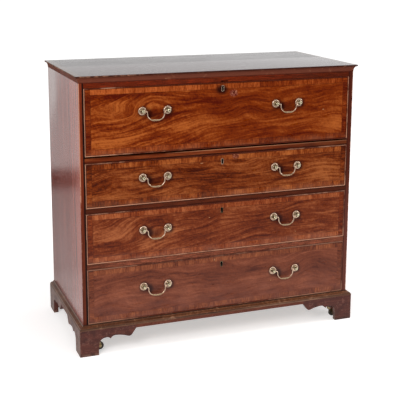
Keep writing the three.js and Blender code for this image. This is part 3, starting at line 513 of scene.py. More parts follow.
def timber(name, along, tones, pitch=70, rough=(0.3, 0.42), seed=1,
           dirt_and_shade=(0.03, 0.01, 0.006), extra=None, bend=1.45):
    """Straight-grained timber whose grain runs along one axis of the chest.

    Where it runs round the chest, it turns with the face: along x in front, y at the sides.
    """
    f = Finish(name)
    if along == "round":
        turn = f.sideways()
        length = f.add(f.times(f.x, f.rest(turn)), f.times(f.y, turn))
        others = [f.z, f.add(f.times(f.y, f.rest(turn)), f.times(f.x, turn))]
    else:
        axes = {"x": f.x, "y": f.y, "z": f.z}
        length = axes.pop(along)
        others = list(axes.values())
    sway = f.cloud(2, 2, 2, seed, 2)
    face = f.add(others[0], f.times(others[1], 0.87), f.off(sway, 0.05))
    broad = f.grain(length, face, pitch * 0.4, 0.06, seed, 4, 0.5)
    fine = f.grain(length, face, pitch * 2.5, 0.05, seed + 2, 4, 0.3)
    tone = f.add(0.5, f.off(broad, 1.5), f.off(fine, 1.2))
    f.colour = f.ramp(tone, *zip((0.1, 0.5, 0.9), tones))
    pits = f.pores(length, face, seed)
    f.coat(dirt_and_shade, pits, 0.35)
    dust = f.cloud(9, 9, 9, seed + 4, 4, 0.6)
    f.coat(dirt_and_shade, f.step(dust, 0.62, 0.85, 0, 0.5))
    f.gloss = f.step(dust, 0.25, 0.75, *rough)
    if extra:
        extra(f)
    return f.close(f.less(f.times(fine, 0.3), f.times(pits, 0.6)), bend=bend)


def rubbed_arris(f, across, start, share, pale):
    """A front arris of the case, rubbed pale in patches."""
    wear = f.cloud(60, 60, 40, 3, 4, 0.75)
    rub = f.times(f.step(across, start + 0.0046, start + 0.001),
                  f.step(f.add(share, f.off(wear, 1.6)), 0.35, 0.8))
    f.coat(pale, rub, 0.9)


def side_sheen_and_wear(f):
    """Side of the case: painted sheen, redder in front and whitish high up at the back; greyer low
    down.
    """
    patch = f.cloud(5, 5, 3, 6, 3, 0.6)
    # Painted sheen: lighter and redder towards the front.
    in_front = f.step(f.add(f.y, f.off(patch, 0.12)), -0.02, -0.24)
    f.coat((0.48, 0.15, 0.115), in_front, 0.85)
    streak = f.cloud(70, 70, 1.6, 9, 3, 0.6)
    f.coat((0.09, 0.022, 0.018), f.step(streak, 0.52, 0.66, 0, 0.75))
    # Painted reflection: whitish, high up towards the back.
    dust_and_sheen = f.add(f.times(f.y, 2.4), f.times(f.z, 1.5), f.off(patch, 0.9))
    f.coat((0.46, 0.35, 0.335), f.step(dust_and_sheen, 1.5, 2, 0, 0.9))
    at_foot = f.times(f.step(f.z, 0.5, 0.22), f.step(f.y, 0.24, 0.04))
    f.coat((0.34, 0.18, 0.175), at_foot, 0.35)
    share = f.step(f.z, 0.52, 0.72, 0.3, 0.95)
    rubbed_arris(f, f.y, CASE_FRONT, share, (0.62, 0.27, 0.17))


def rubbed_and_shaded_stile(f):
    """Front edge of a side: outer arris rubbed pale, painted black by the drawers for the gap's shade.
    """
    edge = f.less(CASE_HALF, f.op("ABSOLUTE", f.x))
    tint = f.grain(f.z, f.x, 110, 0.06, 5)
    low_wood = f.ramp(tint, (0.3, (0.055, 0.007, 0.002)), (0.7, (0.14, 0.026, 0.01)))
    high_wood = f.ramp(tint, (0.3, (0.11, 0.01, 0.001)), (0.7, (0.24, 0.032, 0.005)))
    f.coat(f.mix(f.step(f.z, 0.25, 0.75), low_wood, high_wood), 0.85)
    right = f.mix(f.step(f.z, 0.35, 0.72), (0.125, 0.036, 0.025), (0.055, 0.006, 0.0008))
    f.coat(right, f.step(f.x, 0, 0.1, 0, 0.85))
    # Painted shade of the gap beside the drawers: the stile's inner edge black.
    inner = f.step(f.less(edge, f.step(f.x, 0, 0.1, 0, 0.004)), 0.0122, 0.0136)
    f.coat((0.006, 0.001, 0.0005), inner, 0.97)
    share = f.step(f.x, 0, 0.1, f.step(f.z, 0.52, 0.72, 0.3, 0.95), 0.55)
    rubbed_arris(f, edge, 0, share, (0.58, 0.28, 0.18))


# Rails from the lowest up: rub of the upper arris, strength of the painted shade along its foot
# and top, and how much of that painted dark line along the top is left at the right.
RAIL_WEAR_AND_SHADE = ((0.2, 0.8, 0.9), (-0.25, 1, 0.9), (0.75, 0.95, 0))
# Heights between which a rail has its own middle tone, and how strong that tone is.
RAIL_TONES = ((0.5, 0.6, 0.7, (0.06, 0.01, 0.003)), (0.3, 0.37, 0.85, (0.19, 0.052, 0.026)),
              (1.01, 1.05, 0.85, (0.125, 0.012, 0.0015)))


def rubbed_and_shaded_rails(f):
    """Rail arrises rubbed pale; painted shade on the rails' lower edges and tops, and in the lock's
    slot.
    """
    wear = f.cloud(16, 0, 50, 8, 4, 0.7)
    patchy = f.step(f.cloud(9, 0, 3, 4, 3), 0.35, 0.55, 0.45, 1)
    on_front = f.step(f.y, CASE_FRONT + 0.0012, CASE_FRONT + 0.0004)
    for top, (share, gap_shade, top_shade_at_right) in zip(RAIL_TOPS, RAIL_WEAR_AND_SHADE):
        along = f.step(f.x, -0.3, -0.05, 0, share)
        rub = f.between(f.z, top - 0.0034, top - 0.001, top + 0.0006, top + 0.001)
        rub = f.times(rub, f.step(f.add(along, f.off(wear, 1.6)), 0.1, 0.6), on_front)
        f.coat((0.46, 0.2, 0.1), rub, 0.85)
        # Painted shade: dark along the rail's foot, and along its top under the bead above.
        foot = top - RAIL
        dirt_and_shade = f.between(f.z, foot - 0.001, foot, foot + 0.0025, foot + 0.0055)
        above = f.between(f.z, top - 0.004, top - 0.0022, top, top + 0.001)
        dirt_and_shade = f.op("MAXIMUM", dirt_and_shade, f.times(above, f.step(f.x, -0.3, 0, 0.6, top_shade_at_right)))
        f.coat((0.02, 0.002, 0.0005), dirt_and_shade, on_front, patchy, gap_shade)
    streak = f.grain(f.x, f.z, 260, 0.08, 3)
    speck = f.cloud(150, 0, 260, 6, 3, 0.7)
    lively = f.add(f.off(streak, 1.6), f.off(speck, 1), 0.5)
    for low, high, share, shade in RAIL_TONES:
        here = f.times(f.between(f.z, low, low + 0.01, high - 0.01, high), on_front)
        tone = f.ramp(lively, (0.2, tuple(0.35 * part for part in shade)), (0.5, shade),
                      (0.85, tuple(2.1 * part for part in shade)))
        f.coat(tone, here, share)
    ends = f.op("MAXIMUM", f.times(f.step(f.x, 0.15, 0.42), f.step(f.z, 0.5, 0.52)),
                f.times(f.step(f.x, -0.42, -0.48), f.step(f.z, 0.6, 0.58)))
    f.coat((0.05, 0.008, 0.002), ends, on_front, 0.5)
    # Painted shade: the inside of the lock's slot painted black.
    fall_top = FRONTS["secretaire_fall"].top
    slot = f.times(f.between(f.x, -0.0095, -0.0088, 0.0208, 0.0215),
                   f.between(f.y, CASE_FRONT + 0.0005, CASE_FRONT + 0.0015, CASE_FRONT + 0.013,
                             CASE_FRONT + 0.014),
                   f.between(f.z, fall_top + 0.0017, fall_top + 0.0021, fall_top + 0.0062,
                             fall_top + 0.0065))
    f.coat((0.004, 0.001, 0.001), slot)


def upright_boards(f):
    """Back of the case: five upright boards, each of its own shade, with dark joints."""
    across = f.op("MULTIPLY_ADD", f.x, 1 / BACK_BOARD, 2.5)
    shade = f.each_its_own(across)
    f.coat((0.2, 0.11, 0.052), shade, 0.45)
    near = f.op("PINGPONG", across, 0.5)
    f.coat((0.022, 0.012, 0.007), f.step(near, 0.0105, 0.005, 0, 0.9))
    sooty = f.cloud(3, 3, 2, 4, 4, 0.65)
    f.coat((0.12, 0.07, 0.038), f.step(sooty, 0.48, 0.72, 0, 0.55))


def boarded_top(f):
    """Two boards with an open joint between clamped ends, and a brown rubbed moulded edge."""
    wear = f.cloud(50, 50, 50, 2, 4, 0.7)
    joint = f.between(f.y, 0.0335, 0.0345, 0.0362, 0.0372)
    end = f.less(f.op("ABSOLUTE", f.x), 0.545)
    clamp = f.step(end, 0, 0.001)
    seam = f.between(end, -0.0014, -0.0004, 0.0004, 0.0012)
    front_board = f.step(f.y, 0.0355, 0.0345)
    f.coat((0.088, 0.06, 0.06), front_board, 0.75)
    f.coat((0.02, 0.009, 0.008), f.rest(front_board), 0.7)
    f.coat((0.16, 0.1, 0.07), clamp, 0.35)
    marks = f.op("MAXIMUM", f.times(joint, f.rest(clamp)), seam)
    f.coat((0.012, 0.006, 0.004), marks, 0.85)
    f.gloss = f.add(f.gloss, f.step(f.y, 0.03, 0.045, 0, 0.1))
    edge = f.step(f.z, CASE_TOP + 0.0264, CASE_TOP + 0.0258)
    rubbed = f.add(wear, f.step(f.x, -0.55, 0, 0.1, -0.06))
    nose = f.mix(f.step(rubbed, 0.5, 0.7), (0.044, 0.006, 0.001), (0.24, 0.105, 0.06))
    f.coat(nose, edge)
    cove = f.mix(f.step(wear, 0.58, 0.74), (0.15, 0.036, 0.017), (0.3, 0.12, 0.06))
    # Painted shade at the foot of the cove, where it meets the case.
    lip = f.step(f.z, CASE_TOP + 0.0034, CASE_TOP + 0.0026)
    cove = f.mix(f.times(lip, 0.7), cove, (0.06, 0.006, 0.001))
    f.coat(cove, f.step(f.z, CASE_TOP + 0.0212, CASE_TOP + 0.0204))
    f.gloss = f.add(f.gloss, f.times(edge, 0.1))


def worn_moulding(f):
    """Base moulding: olive brown, rubbed, painted shade in quirk and at top, plum on the strip under
    it.
    """
    wear = f.cloud(90, 90, 120, 6, 5, 0.75)
    blot = f.cloud(14, 14, 14, 8, 3, 0.6)
    olive = f.ramp(wear, (0.32, (0.062, 0.014, 0.003)), (0.68, (0.205, 0.07, 0.024)))
    f.coat(olive, f.step(f.z, FOOT_TOP + 0.007, FOOT_TOP + 0.0095))
    # Painted shade in the quirk above the fillet.
    quirk = f.between(f.z, FOOT_TOP + 0.0041, FOOT_TOP + 0.0051, FOOT_TOP + 0.0057,
                      FOOT_TOP + 0.0067)
    f.coat((0.02, 0.008, 0.004), quirk, 0.7)
    # Painted shade along the top, where the moulding meets the case.
    f.coat((0.02, 0.006, 0.003), f.step(f.z, BASE_TOP - 0.004, BASE_TOP - 0.0015), 0.85)
    at_left = f.times(f.step(f.x, -0.2, -0.45), f.step(f.z, FOOT_TOP + 0.005, FOOT_TOP + 0.0075))
    f.coat((0.03, 0.006, 0.002), at_left, 0.35)
    fillet = f.times(f.step(f.z, FOOT_TOP + 0.0049, FOOT_TOP + 0.0041),
                     f.between(f.x, 0.05, 0.25, 0.38, 0.5))
    f.coat((0.4, 0.22, 0.14), fillet, 0.45)
    grooves = f.cloud(5, 5, 520, 3, 2, 0.6)
    f.coat((0.022, 0.006, 0.002), f.step(grooves, 0.54, 0.66, 0, 0.5))
    rubbed = f.step(f.add(wear, f.off(blot, 0.7)), 0.56, 0.76, 0, 0.55)
    f.coat((0.38, 0.2, 0.12), rubbed)
    # Painted sheen: faces that look left or right paler and greyer.
    f.coat((0.3, 0.2, 0.15), f.sideways(), 0.45)
    strip = f.ramp(wear, (0.3, (0.08, 0.016, 0.007)), (0.7, (0.17, 0.046, 0.024)))
    f.coat(strip, f.step(f.z, FOOT_TOP + 0.0006, FOOT_TOP))


def worn_and_shaded_feet(f):
    """Feet: plum brown, knocked pale along their lower edges, with painted shade near the floor."""
    wear = f.cloud(70, 70, 90, 4, 5, 0.75)
    # Painted shade low down, near the floor.
    f.coat((0.03, 0.01, 0.006), f.step(f.z, 0.016, 0.004, 0, 0.75))
    # Painted sheen: faces that look left or right paler and greyer.
    f.coat((0.3, 0.2, 0.16), f.sideways(), 0.6)
    knock = f.times(f.step(f.z, 0.014, 0.004), f.step(f.x, -0.3, -0.45), f.step(wear, 0.36, 0.54))
    f.coat((0.3, 0.16, 0.11), knock, 0.7)
    blot = f.cloud(34, 34, 50, 7, 4, 0.65)
    f.coat((0.032, 0.007, 0.005), f.step(blot, 0.46, 0.64, 0, 0.7))
    arris = f.step(f.op("ABSOLUTE", f.x), FOOT_OUTER - 0.004, FOOT_OUTER - 0.0015)
    arris = f.times(arris, f.step(f.y, FOOT_FACE + 0.006, FOOT_FACE + 0.002),
                    f.step(wear, 0.4, 0.58))
    f.coat((0.26, 0.14, 0.1), arris, 0.6)
    scratch = f.cloud(40, 40, 420, 5, 3, 0.7)
    low = f.step(f.z, 0.045, 0.01)
    f.coat((0.25, 0.13, 0.095), low, f.step(scratch, 0.54, 0.66), 0.45)
    speck = f.cloud(260, 260, 260, 2, 3, 0.7)
    f.coat((0.06, 0.013, 0.009), f.step(speck, 0.4, 0.6, 0, 0.6))
    f.coat((0.23, 0.1, 0.075), f.step(wear, 0.54, 0.66, 0, 0.55))


case_side = timber("case_side_mahogany", "z", ((0.16, 0.026, 0.016), (0.24, 0.05, 0.034),
                                               (0.33, 0.086, 0.062)),
                   pitch=60, rough=(0.1, 0.16), seed=4, dirt_and_shade=(0.1, 0.012, 0.008),
                   extra=side_sheen_and_wear, bend=1.5)
stile_wood = timber("stile_mahogany", "z", FRONT_EDGE, pitch=110, rough=(0.45, 0.6), seed=5,
                    extra=rubbed_and_shaded_stile, bend=1.25)
rail_wood = timber("rail_mahogany", "x", FRONT_EDGE, pitch=110, seed=7, extra=rubbed_and_shaded_rails,
                   bend=1.26)
top_wood = timber("top_mahogany", "x", TOP_WOOD, rough=(0.07, 0.12), seed=9,
                  dirt_and_shade=(0.02, 0.01, 0.008), extra=boarded_top, bend=1.5)
edge_wood = timber("moulded_edge_mahogany", "x", TOP_WOOD, rough=(0.45, 0.6), seed=9,
                   dirt_and_shade=(0.02, 0.01, 0.008), extra=boarded_top, bend=1.24)
moulding_wood = timber("base_moulding_wood", "round", ((0.06, 0.022, 0.01),
                                                       (0.13, 0.052, 0.026),
                                                       (0.26, 0.13, 0.07)),
                       pitch=90, rough=(0.35, 0.55), seed=12, dirt_and_shade=(0.03, 0.01, 0.003),
                       extra=worn_moulding, bend=1.34)
foot_wood = timber("foot_mahogany", "round", ((0.058, 0.011, 0.007), (0.105, 0.024, 0.015),
                                              (0.165, 0.048, 0.032)),
                   rough=(0.35, 0.5), seed=15, extra=worn_and_shaded_feet, bend=1.38)
inner_mahogany = timber("inner_mahogany", "x", ((0.12, 0.035, 0.014), (0.22, 0.08, 0.032),
                                                (0.34, 0.14, 0.06)),
                        pitch=80, rough=(0.35, 0.5), seed=18)
pine = timber("aged_pine", "z", ((0.22, 0.105, 0.045), (0.37, 0.21, 0.1), (0.49, 0.31, 0.16)),
              pitch=50, rough=(0.55, 0.75), seed=21, dirt_and_shade=(0.1, 0.055, 0.028),
              extra=upright_boards)
pine_floor = timber("aged_pine_boards", "x", ((0.2, 0.1, 0.045), (0.34, 0.2, 0.1),
                                              (0.46, 0.3, 0.16)),
                    pitch=50, rough=(0.55, 0.75), seed=24, dirt_and_shade=(0.1, 0.055, 0.028))
oak_side = timber("oak_drawer_side", "y", OAK, pitch=90, rough=(0.5, 0.7), seed=27,
                  dirt_and_shade=(0.09, 0.05, 0.025))
oak_cross = timber("oak_drawer_board", "x", OAK, pitch=90, rough=(0.5, 0.7), seed=30,
                   dirt_and_shade=(0.09, 0.05, 0.025))


def old_brass(name, seed, tones, metal, rough, extra=None):
    """Old brass: rubbed pale and tarnished in clouds, with dark specks."""
    f = Finish(name)
    cloud = f.cloud(150, 150, 150, seed, 4, 0.6)
    speck = f.cloud(520, 520, 520, seed, 3, 0.6)
    tone = f.add(0.5, f.off(cloud, 1.3), f.off(speck, 0.7))
    f.colour = f.ramp(tone, *zip((0.1, 0.5, 0.85), tones))
    if extra:
        extra(f)
    spots = f.step(speck, 0.62, 0.76)
    f.coat((0.08, 0.05, 0.03), spots, 0.5)
    f.gloss = f.step(tone, 0.2, 0.8, *rough)
    return f.close(tone, metal=f.times(f.rest(f.times(spots, 0.4)), metal))


def olive_bars(f):
    """The bottom bar of each bail, which hangs 30 to 44 mm below its bolts, is more olive."""
    for facts in FRONTS.values():
        bar_level = f.between(f.z, facts.handle - 0.045, facts.handle - 0.044,
                              facts.handle - 0.0295, facts.handle - 0.0265)
        f.coat((0.42, 0.29, 0.155), bar_level, 0.8)


def bright_tips(f):
    """The tips of the post heads are painted bright: rubbed brass and a painted highlight."""
    tip = f.step(f.y, CASE_FRONT - 0.0186, CASE_FRONT - 0.02)
    f.coat((0.78, 0.7, 0.47), tip)


pale_brass = old_brass("pale_handle_brass", 2,
                       ((0.29, 0.17, 0.095), (0.7, 0.49, 0.345), (0.97, 0.78, 0.62)),
                       0.6, (0.34, 0.2), olive_bars)
olive_brass = old_brass("olive_post_brass", 3,
                        ((0.05, 0.034, 0.012), (0.13, 0.09, 0.04), (0.55, 0.42, 0.26)),
                        0.8, (0.34, 0.2), bright_tips)
fitting_brass = old_brass("fitting_brass", 5,
                          ((0.09, 0.06, 0.025), (0.3, 0.21, 0.1), (0.8, 0.64, 0.4)),
                          0.85, (0.4, 0.2))


def castor_tread():
    """Dark leather tread in thin rings, scuffed on its rim."""
    f = Finish("castor_tread")
    rings = f.cloud(0, 1500, 0, 0, 1)
    scuff = f.cloud(180, 180, 180, 0, 4, 0.7)
    f.colour = f.ramp(f.add(f.times(rings, 0.4), f.times(scuff, 0.6)),
                      (0.35, (0.012, 0.009, 0.007)), (0.7, (0.07, 0.05, 0.034)))
    f.gloss = f.step(scuff, 0.3, 0.7, 0.4, 0.7)
    return f.close(rings, 0.0003)


tread = castor_tread()

# Finish of each piece that the drawing already has
FINISHES = {
    "top_board": top_wood, "left_side": case_side, "right_side": case_side,
    "bottom_board": pine_floor, "back_panel": pine, "top_rail": rail_wood,
    "divider_*": rail_wood, "base_moulding": moulding_wood, "foot_*": foot_wood,
    "drawer_*_side": oak_side, "drawer_*_back": oak_cross, "drawer_*_bottom": oak_cross,
    "secretaire_*_side": oak_side, "secretaire_back": oak_cross,
    "secretaire_writing_board": inner_mahogany, "pigeonhole_nest": inner_mahogany,
    "small_drawer_*": inner_mahogany, "*_bail_*": pale_brass, "quadrant_*": fitting_brass,
    "fall_hinge_*": fitting_brass, "castor_fork_*": fitting_brass, "castor_wheel_*": tread,
    **{node: veneered_front(node, facts) for node, facts in FRONTS.items()},
}
for pattern, finish in FINISHES.items():
    for node in fnmatch.filter(frame["nodes"], pattern):
        mesh = frame["nodes"][node].data
        mesh.materials.clear()
        mesh.materials.append(finish)


def made(name, points, faces, material, body, slot, sharp=35, replaces=()):
    """A new piece from its points and faces, shaded smooth but for its sharp edges."""
    mesh = bpy.data.meshes.new(name)
    mesh.from_pydata(np.asarray(points).reshape(-1, 3).tolist(), [], faces)
    mesh.validate()
    mesh.polygons.foreach_set("use_smooth", [True] * len(mesh.polygons))
    mesh.set_sharp_from_angle(angle=math.radians(sharp))
    mesh.materials.append(material)
    piece = bpy.data.objects.new(name, mesh)
    bpy.context.scene.collection.objects.link(piece)
    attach(piece, body)
    if replaces:
        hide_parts(*replaces)
    return piece


def skin(rows, columns):
    """Quads of a grid of points, row by row; the last column joins the first."""
    row, column = np.meshgrid(np.arange(rows - 1), np.arange(columns), indexing="ij")
    after = (column + 1) % columns
    quads = np.stack([row * columns + column, row * columns + after,
                      (row + 1) * columns + after, (row + 1) * columns + column], axis=-1)
    return quads.reshape(-1, 4).tolist()


def capped(rows, columns):
    """Quads of a closed tube of points with a face over each end."""
    return skin(rows, columns) + [list(range(columns))[::-1],
                                  list(range((rows - 1) * columns, rows * columns))]


def joined(shells):
    """Several point grids and their faces as one list of each."""
    points, faces = [], []
    for shell, quads in shells:
        faces += [[index + len(points) for index in quad] for quad in quads]
        points += np.asarray(shell).reshape(-1, 3).tolist()
    return points, faces


def turned_y(profile, centre, sides=40):
    """Turned form about a line square to the front: radius and reach out of it, in mm."""
    profile = np.asarray(profile) / 1000
    turn = np.linspace(0, 2 * np.pi, sides, endpoint=False)
    radius, stand = profile[:, :1], profile[:, 1:]
    points = np.stack([centre[0] + radius * np.cos(turn), centre[1] - stand + 0 * turn,
                       centre[2] + radius * np.sin(turn)], axis=-1)
    return points, capped(len(profile), sides)


# Rose: raised rim and dished middle. Post: neck and domed head that hold the bail.
ROSE = ((14.6, 0.02), (15.3, 0.8), (15.4, 1.9), (15, 3.1), (14.1, 4), (12.9, 4.5),
        (11.7, 4.5), (10.6, 4.1), (9.9, 3.5), (9.4, 2.8), (8.6, 2.2), (4.2, 2.1))
POST = ((7.2, 2), (7.3, 2.9), (6.6, 3.6), (5.6, 4.1), (4.9, 5.2), (4.5, 7.2), (4.6, 9),
        (5.2, 10.6), (6.2, 12), (6.9, 13.6), (7, 15.4), (6.8, 17.2), (6, 18.8),
        (4.6, 20.1), (2.6, 20.8), (0.9, 21))
# Half of a bail's path in mm, from its bolt to its middle, and the radius of its rod. Its bottom
# bar, within 15.5 mm of the middle, is deeper and thicker by these amounts.
BAIL = ((49.25, 0), (42, 0), (37.2, -0.4), (34, -2.6), (32.9, -7), (33.1, -12.6),
        (32, -18.6), (28.2, -25), (22.6, -30.4), (17, -33.4), (9, -34.5), (0, -34.6))
BAIL_ROD = 2
BAR_HALF = 15.5
BAR_DEEPER = 1.2
BAR_THICKER = 0.6


def bail_piece(name, centre, height, sides=18, steps=93):
    """A rod swept along the bail's path: flat and deep on its bottom bar, round elsewhere."""
    key = np.array(BAIL)
    key = np.vstack([key * (-1, 1), key[-2::-1]])
    span = np.concatenate([[0], np.cumsum(np.hypot(*np.diff(key, axis=0).T))])
    share = np.linspace(0, span[-1], steps)
    path = np.stack([np.interp(share, span, key[:, 0]), np.interp(share, span, key[:, 1])], 1)
    for _ in range(4):
        path[1:-1] = (path[:-2] + 2 * path[1:-1] + path[2:]) / 4
    slope = np.gradient(path, axis=0)
    slope /= np.linalg.norm(slope, axis=1)[:, None]
    beside = np.stack([-slope[:, 1], slope[:, 0]], 1)
    bar = np.exp(-((path[:, 0] / BAR_HALF) ** 6)) * (path[:, 1] < -28)
    deep, thick = BAIL_ROD + BAR_DEEPER * bar, BAIL_ROD + BAR_THICKER * bar
    turn = np.linspace(0, 2 * np.pi, sides, endpoint=False)
    out = deep[:, None] * np.cos(turn)
    points = np.stack([
        centre + (path[:, :1] + beside[:, :1] * out) / 1000,
        CASE_FRONT - BOLT_STAND + thick[:, None] * np.sin(turn) / 1000,
        height + (path[:, 1:] + beside[:, 1:] * out) / 1000], axis=-1)
    made(f"{name}_swan_neck", points, capped(steps, sides), pale_brass, name, "brass",
         replaces=(name,))


def handles(facts):
    """The roses and posts of a front, each lot as one piece, and its two bails."""
    posts = [(sign * HANDLE_X + end * POST_HALF, CASE_FRONT, facts.handle)
             for sign in (-1, 1) for end in (-1, 1)]
    made(f"{facts.drawer}_roses", *joined([turned_y(ROSE, post) for post in posts]),
         pale_brass, facts.body, "brass")
    made(f"{facts.drawer}_posts", *joined([turned_y(POST, post) for post in posts]),
         olive_brass, facts.body, "brass")
    bail_piece(f"{facts.drawer}_bail_left", -HANDLE_X, facts.handle)
    bail_piece(f"{facts.drawer}_bail_right", HANDLE_X, facts.handle)


# Outline of a keyhole, in mm: radius of its eye, half width of its slot, and how far its foot
# lies below the eye. Thread: how far outside that outline and how far out of the front it is.
EYE = 3.4
SLOT = 2.8
DROP = 14.8
THREAD = ((0.9, -0.9), (0.9, 0.25), (1.2, 0.6), (1.6, 0.7), (2.1, 0.5), (2.4, 0), (2.4, -0.9))


def keyhole_thread(facts):
    """Brass thread let in round a keyhole: a half round carried along the hole's outline."""
    neck = math.asin(SLOT / EYE)
    turn = np.linspace(-math.pi / 2 + neck, 1.5 * math.pi - neck, 25)
    eye = np.stack([EYE * np.cos(turn), EYE * np.sin(turn)], 1)
    legs = np.linspace(0.25, 1, 4)[:, None]
    foot = np.array([(-SLOT, -DROP), (SLOT, -DROP)])
    outline = np.vstack([eye, eye[-1] + (foot[0] - eye[-1]) * legs, foot[1:],
                         foot[1] + (eye[0] - foot[1]) * legs[:-1]])
    ahead = np.roll(outline, -1, axis=0) - np.roll(outline, 1, axis=0)
    ahead /= np.linalg.norm(ahead, axis=1)[:, None]
    out = np.stack([ahead[:, 1], -ahead[:, 0]], 1)
    section = np.array(THREAD)
    ring = outline[None] + out[None] * section[:, :1, None]
    points = np.stack([ring[..., 0] / 1000,
                       CASE_FRONT - section[:, 1:] / 1000 + 0 * ring[..., 0],
                       facts.keyhole + ring[..., 1] / 1000], axis=-1)
    points = points.transpose(1, 0, 2)
    rows, columns = points.shape[:2]
    faces = (np.array(skin(rows + 1, columns)) % (rows * columns)).tolist()
    brass = pale_brass if facts.keyhole > 0.6 else olive_brass
    made(f"{facts.drawer}_keyhole_thread", points, faces, brass, facts.body, "brass", sharp=60)


for facts in FRONTS.values():
    handles(facts)
for facts in FRONTS.values():
    keyhole_thread(facts)


def run_round(profile):
    """A moulding's profile, out and up, carried round one end, the front and the other end."""
    out, up = np.asarray(profile).T
    back = CASE_BACK + 0 * out
    return np.stack([
        np.stack([-CASE_HALF - out, back, up], 1),
        np.stack([-CASE_HALF - out, CASE_FRONT - out, up], 1),
        np.stack([CASE_HALF + out, CASE_FRONT - out, up], 1),
        np.stack([CASE_HALF + out, back, up], 1)], 1)


def top_slab():
    """The top: a quarter-hollow cavetto and then a half-round nose, run round three sides.

    Its upper face is polished, and the faces that look out or down have their own finish.
    """
    quarter = np.linspace(0, math.pi / 2, 9)
    half = np.linspace(-math.pi / 2, math.pi / 2, 9)
    cove = np.stack([0.0005 + 0.01 * (1 - np.cos(quarter)), 0.0004 + 0.0196 * np.sin(quarter)], 1)
    nose = np.stack([0.0108 + 0.0027 * np.cos(half), 0.024 + 0.003 * np.sin(half)], 1)
    profile = np.vstack([[(0, 0)], cove, nose]) + (0, CASE_TOP)
    top = made("top_slab", run_round(profile), capped(len(profile), 4), top_wood, "carcass",
               "mahogany", replaces=("top_board",))
    top.data.materials.append(edge_wood)
    facing = np.zeros(3 * len(top.data.polygons))
    top.data.polygons.foreach_get("normal", facing)
    moulded = (facing[2::3] < 0.9).astype(int)
    top.data.polygons.foreach_set("material_index", moulded.tolist())


def base_moulding_run():
    """Fillet, quirk, ovolo and cavetto in mm, from the feet up to the case, closed behind."""
    quarter = np.linspace(0, math.pi / 2, 9)
    fillet = [(-4, 0), (17, 0), (17.6, 0.6), (17.6, 4.4), (17, 4.9), (15.8, 5)]
    ovolo = np.stack([8.5 + 7.3 * np.cos(quarter), 5.3 + 6 * np.sin(quarter)], 1)
    hollow = np.stack([1.2 + 7.3 * (1 - np.sin(quarter)), 11.5 + 6.4 * (1 - np.cos(quarter))], 1)
    top = [(-4, 1000 * (BASE_TOP - FOOT_TOP))]
    profile = np.vstack([fillet, ovolo, hollow, top]) / 1000 + (0, FOOT_TOP)
    made("base_moulding_run", run_round(profile).transpose(1, 0, 2), capped(4, len(profile)),
         moulding_wood, "carcass", "worn_moulding", replaces=("base_moulding",))


def strip(x0, x1, y0, y1, z0, z1):
    """A plain strip of wood between six faces, wound to face outwards."""
    rings = [[(x0, y, z0), (x1, y, z0), (x1, y, z1), (x0, y, z1)] for y in (y0, y1)]
    return np.array(rings), capped(2, 4)


def stile_facings():
    """The front edges of the two sides, a hair proud of them, beside the drawers."""
    inner = FRONT_HALF + 0.0002
    made("stile_facings", *joined([
        strip(x0, x1, CASE_FRONT - 0.0002, CASE_FRONT + 0.001, BASE_TOP, CASE_TOP)
        for x0, x1 in ((-CASE_HALF, -inner), (inner, CASE_HALF))]),
        stile_wood, "carcass", "mahogany")


def plinth_strip():
    """The strip that joins the brackets under the moulding, in front and at both ends."""
    front = strip(BRACKET - FOOT_OUTER, FOOT_OUTER - BRACKET, FOOT_FACE, CASE_FRONT,
                  PLINTH_BOTTOM, FOOT_TOP)
    ends = [strip(x0, x1, FOOT_FACE + BRACKET, CASE_BACK - BRACKET, PLINTH_BOTTOM, FOOT_TOP)
            for x0, x1 in ((-FOOT_OUTER, -CASE_HALF), (CASE_HALF, FOOT_OUTER))]
    made("plinth_strip", *joined([front, *ends]), moulding_wood, "carcass", "worn_moulding")


def eased_foot(node, width=0.0014):
    """A merged copy of a bracket foot with its arrises rounded over."""
    mesh = frame["nodes"][node].data.copy()
    foot = bpy.data.objects.new(f"{node}_eased", mesh)
    mesh.materials.clear()
    mesh.materials.append(foot_wood)
    form = bmesh.new()
    form.from_mesh(mesh)
    bmesh.ops.remove_doubles(form, verts=form.verts, dist=0.00002)
    bmesh.ops.dissolve_limit(form, angle_limit=math.radians(1), verts=form.verts, edges=form.edges)
    form.to_mesh(mesh)
    form.free()
    bpy.context.scene.collection.objects.link(foot)
    round_over = foot.modifiers.new("round_over", "BEVEL")
    round_over.width = width
    round_over.segments = 2
    round_over.limit_method = "ANGLE"
    round_over.angle_limit = math.radians(50)
    mesh.polygons.foreach_set("use_smooth", [False] * len(mesh.polygons))
    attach(foot, "carcass")
    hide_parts(node)


top_slab()
stile_facings()
base_moulding_run()
plinth_strip()
for place in ("front_left", "front_right", "rear_left", "rear_right"):
    eased_foot(f"foot_{place}")


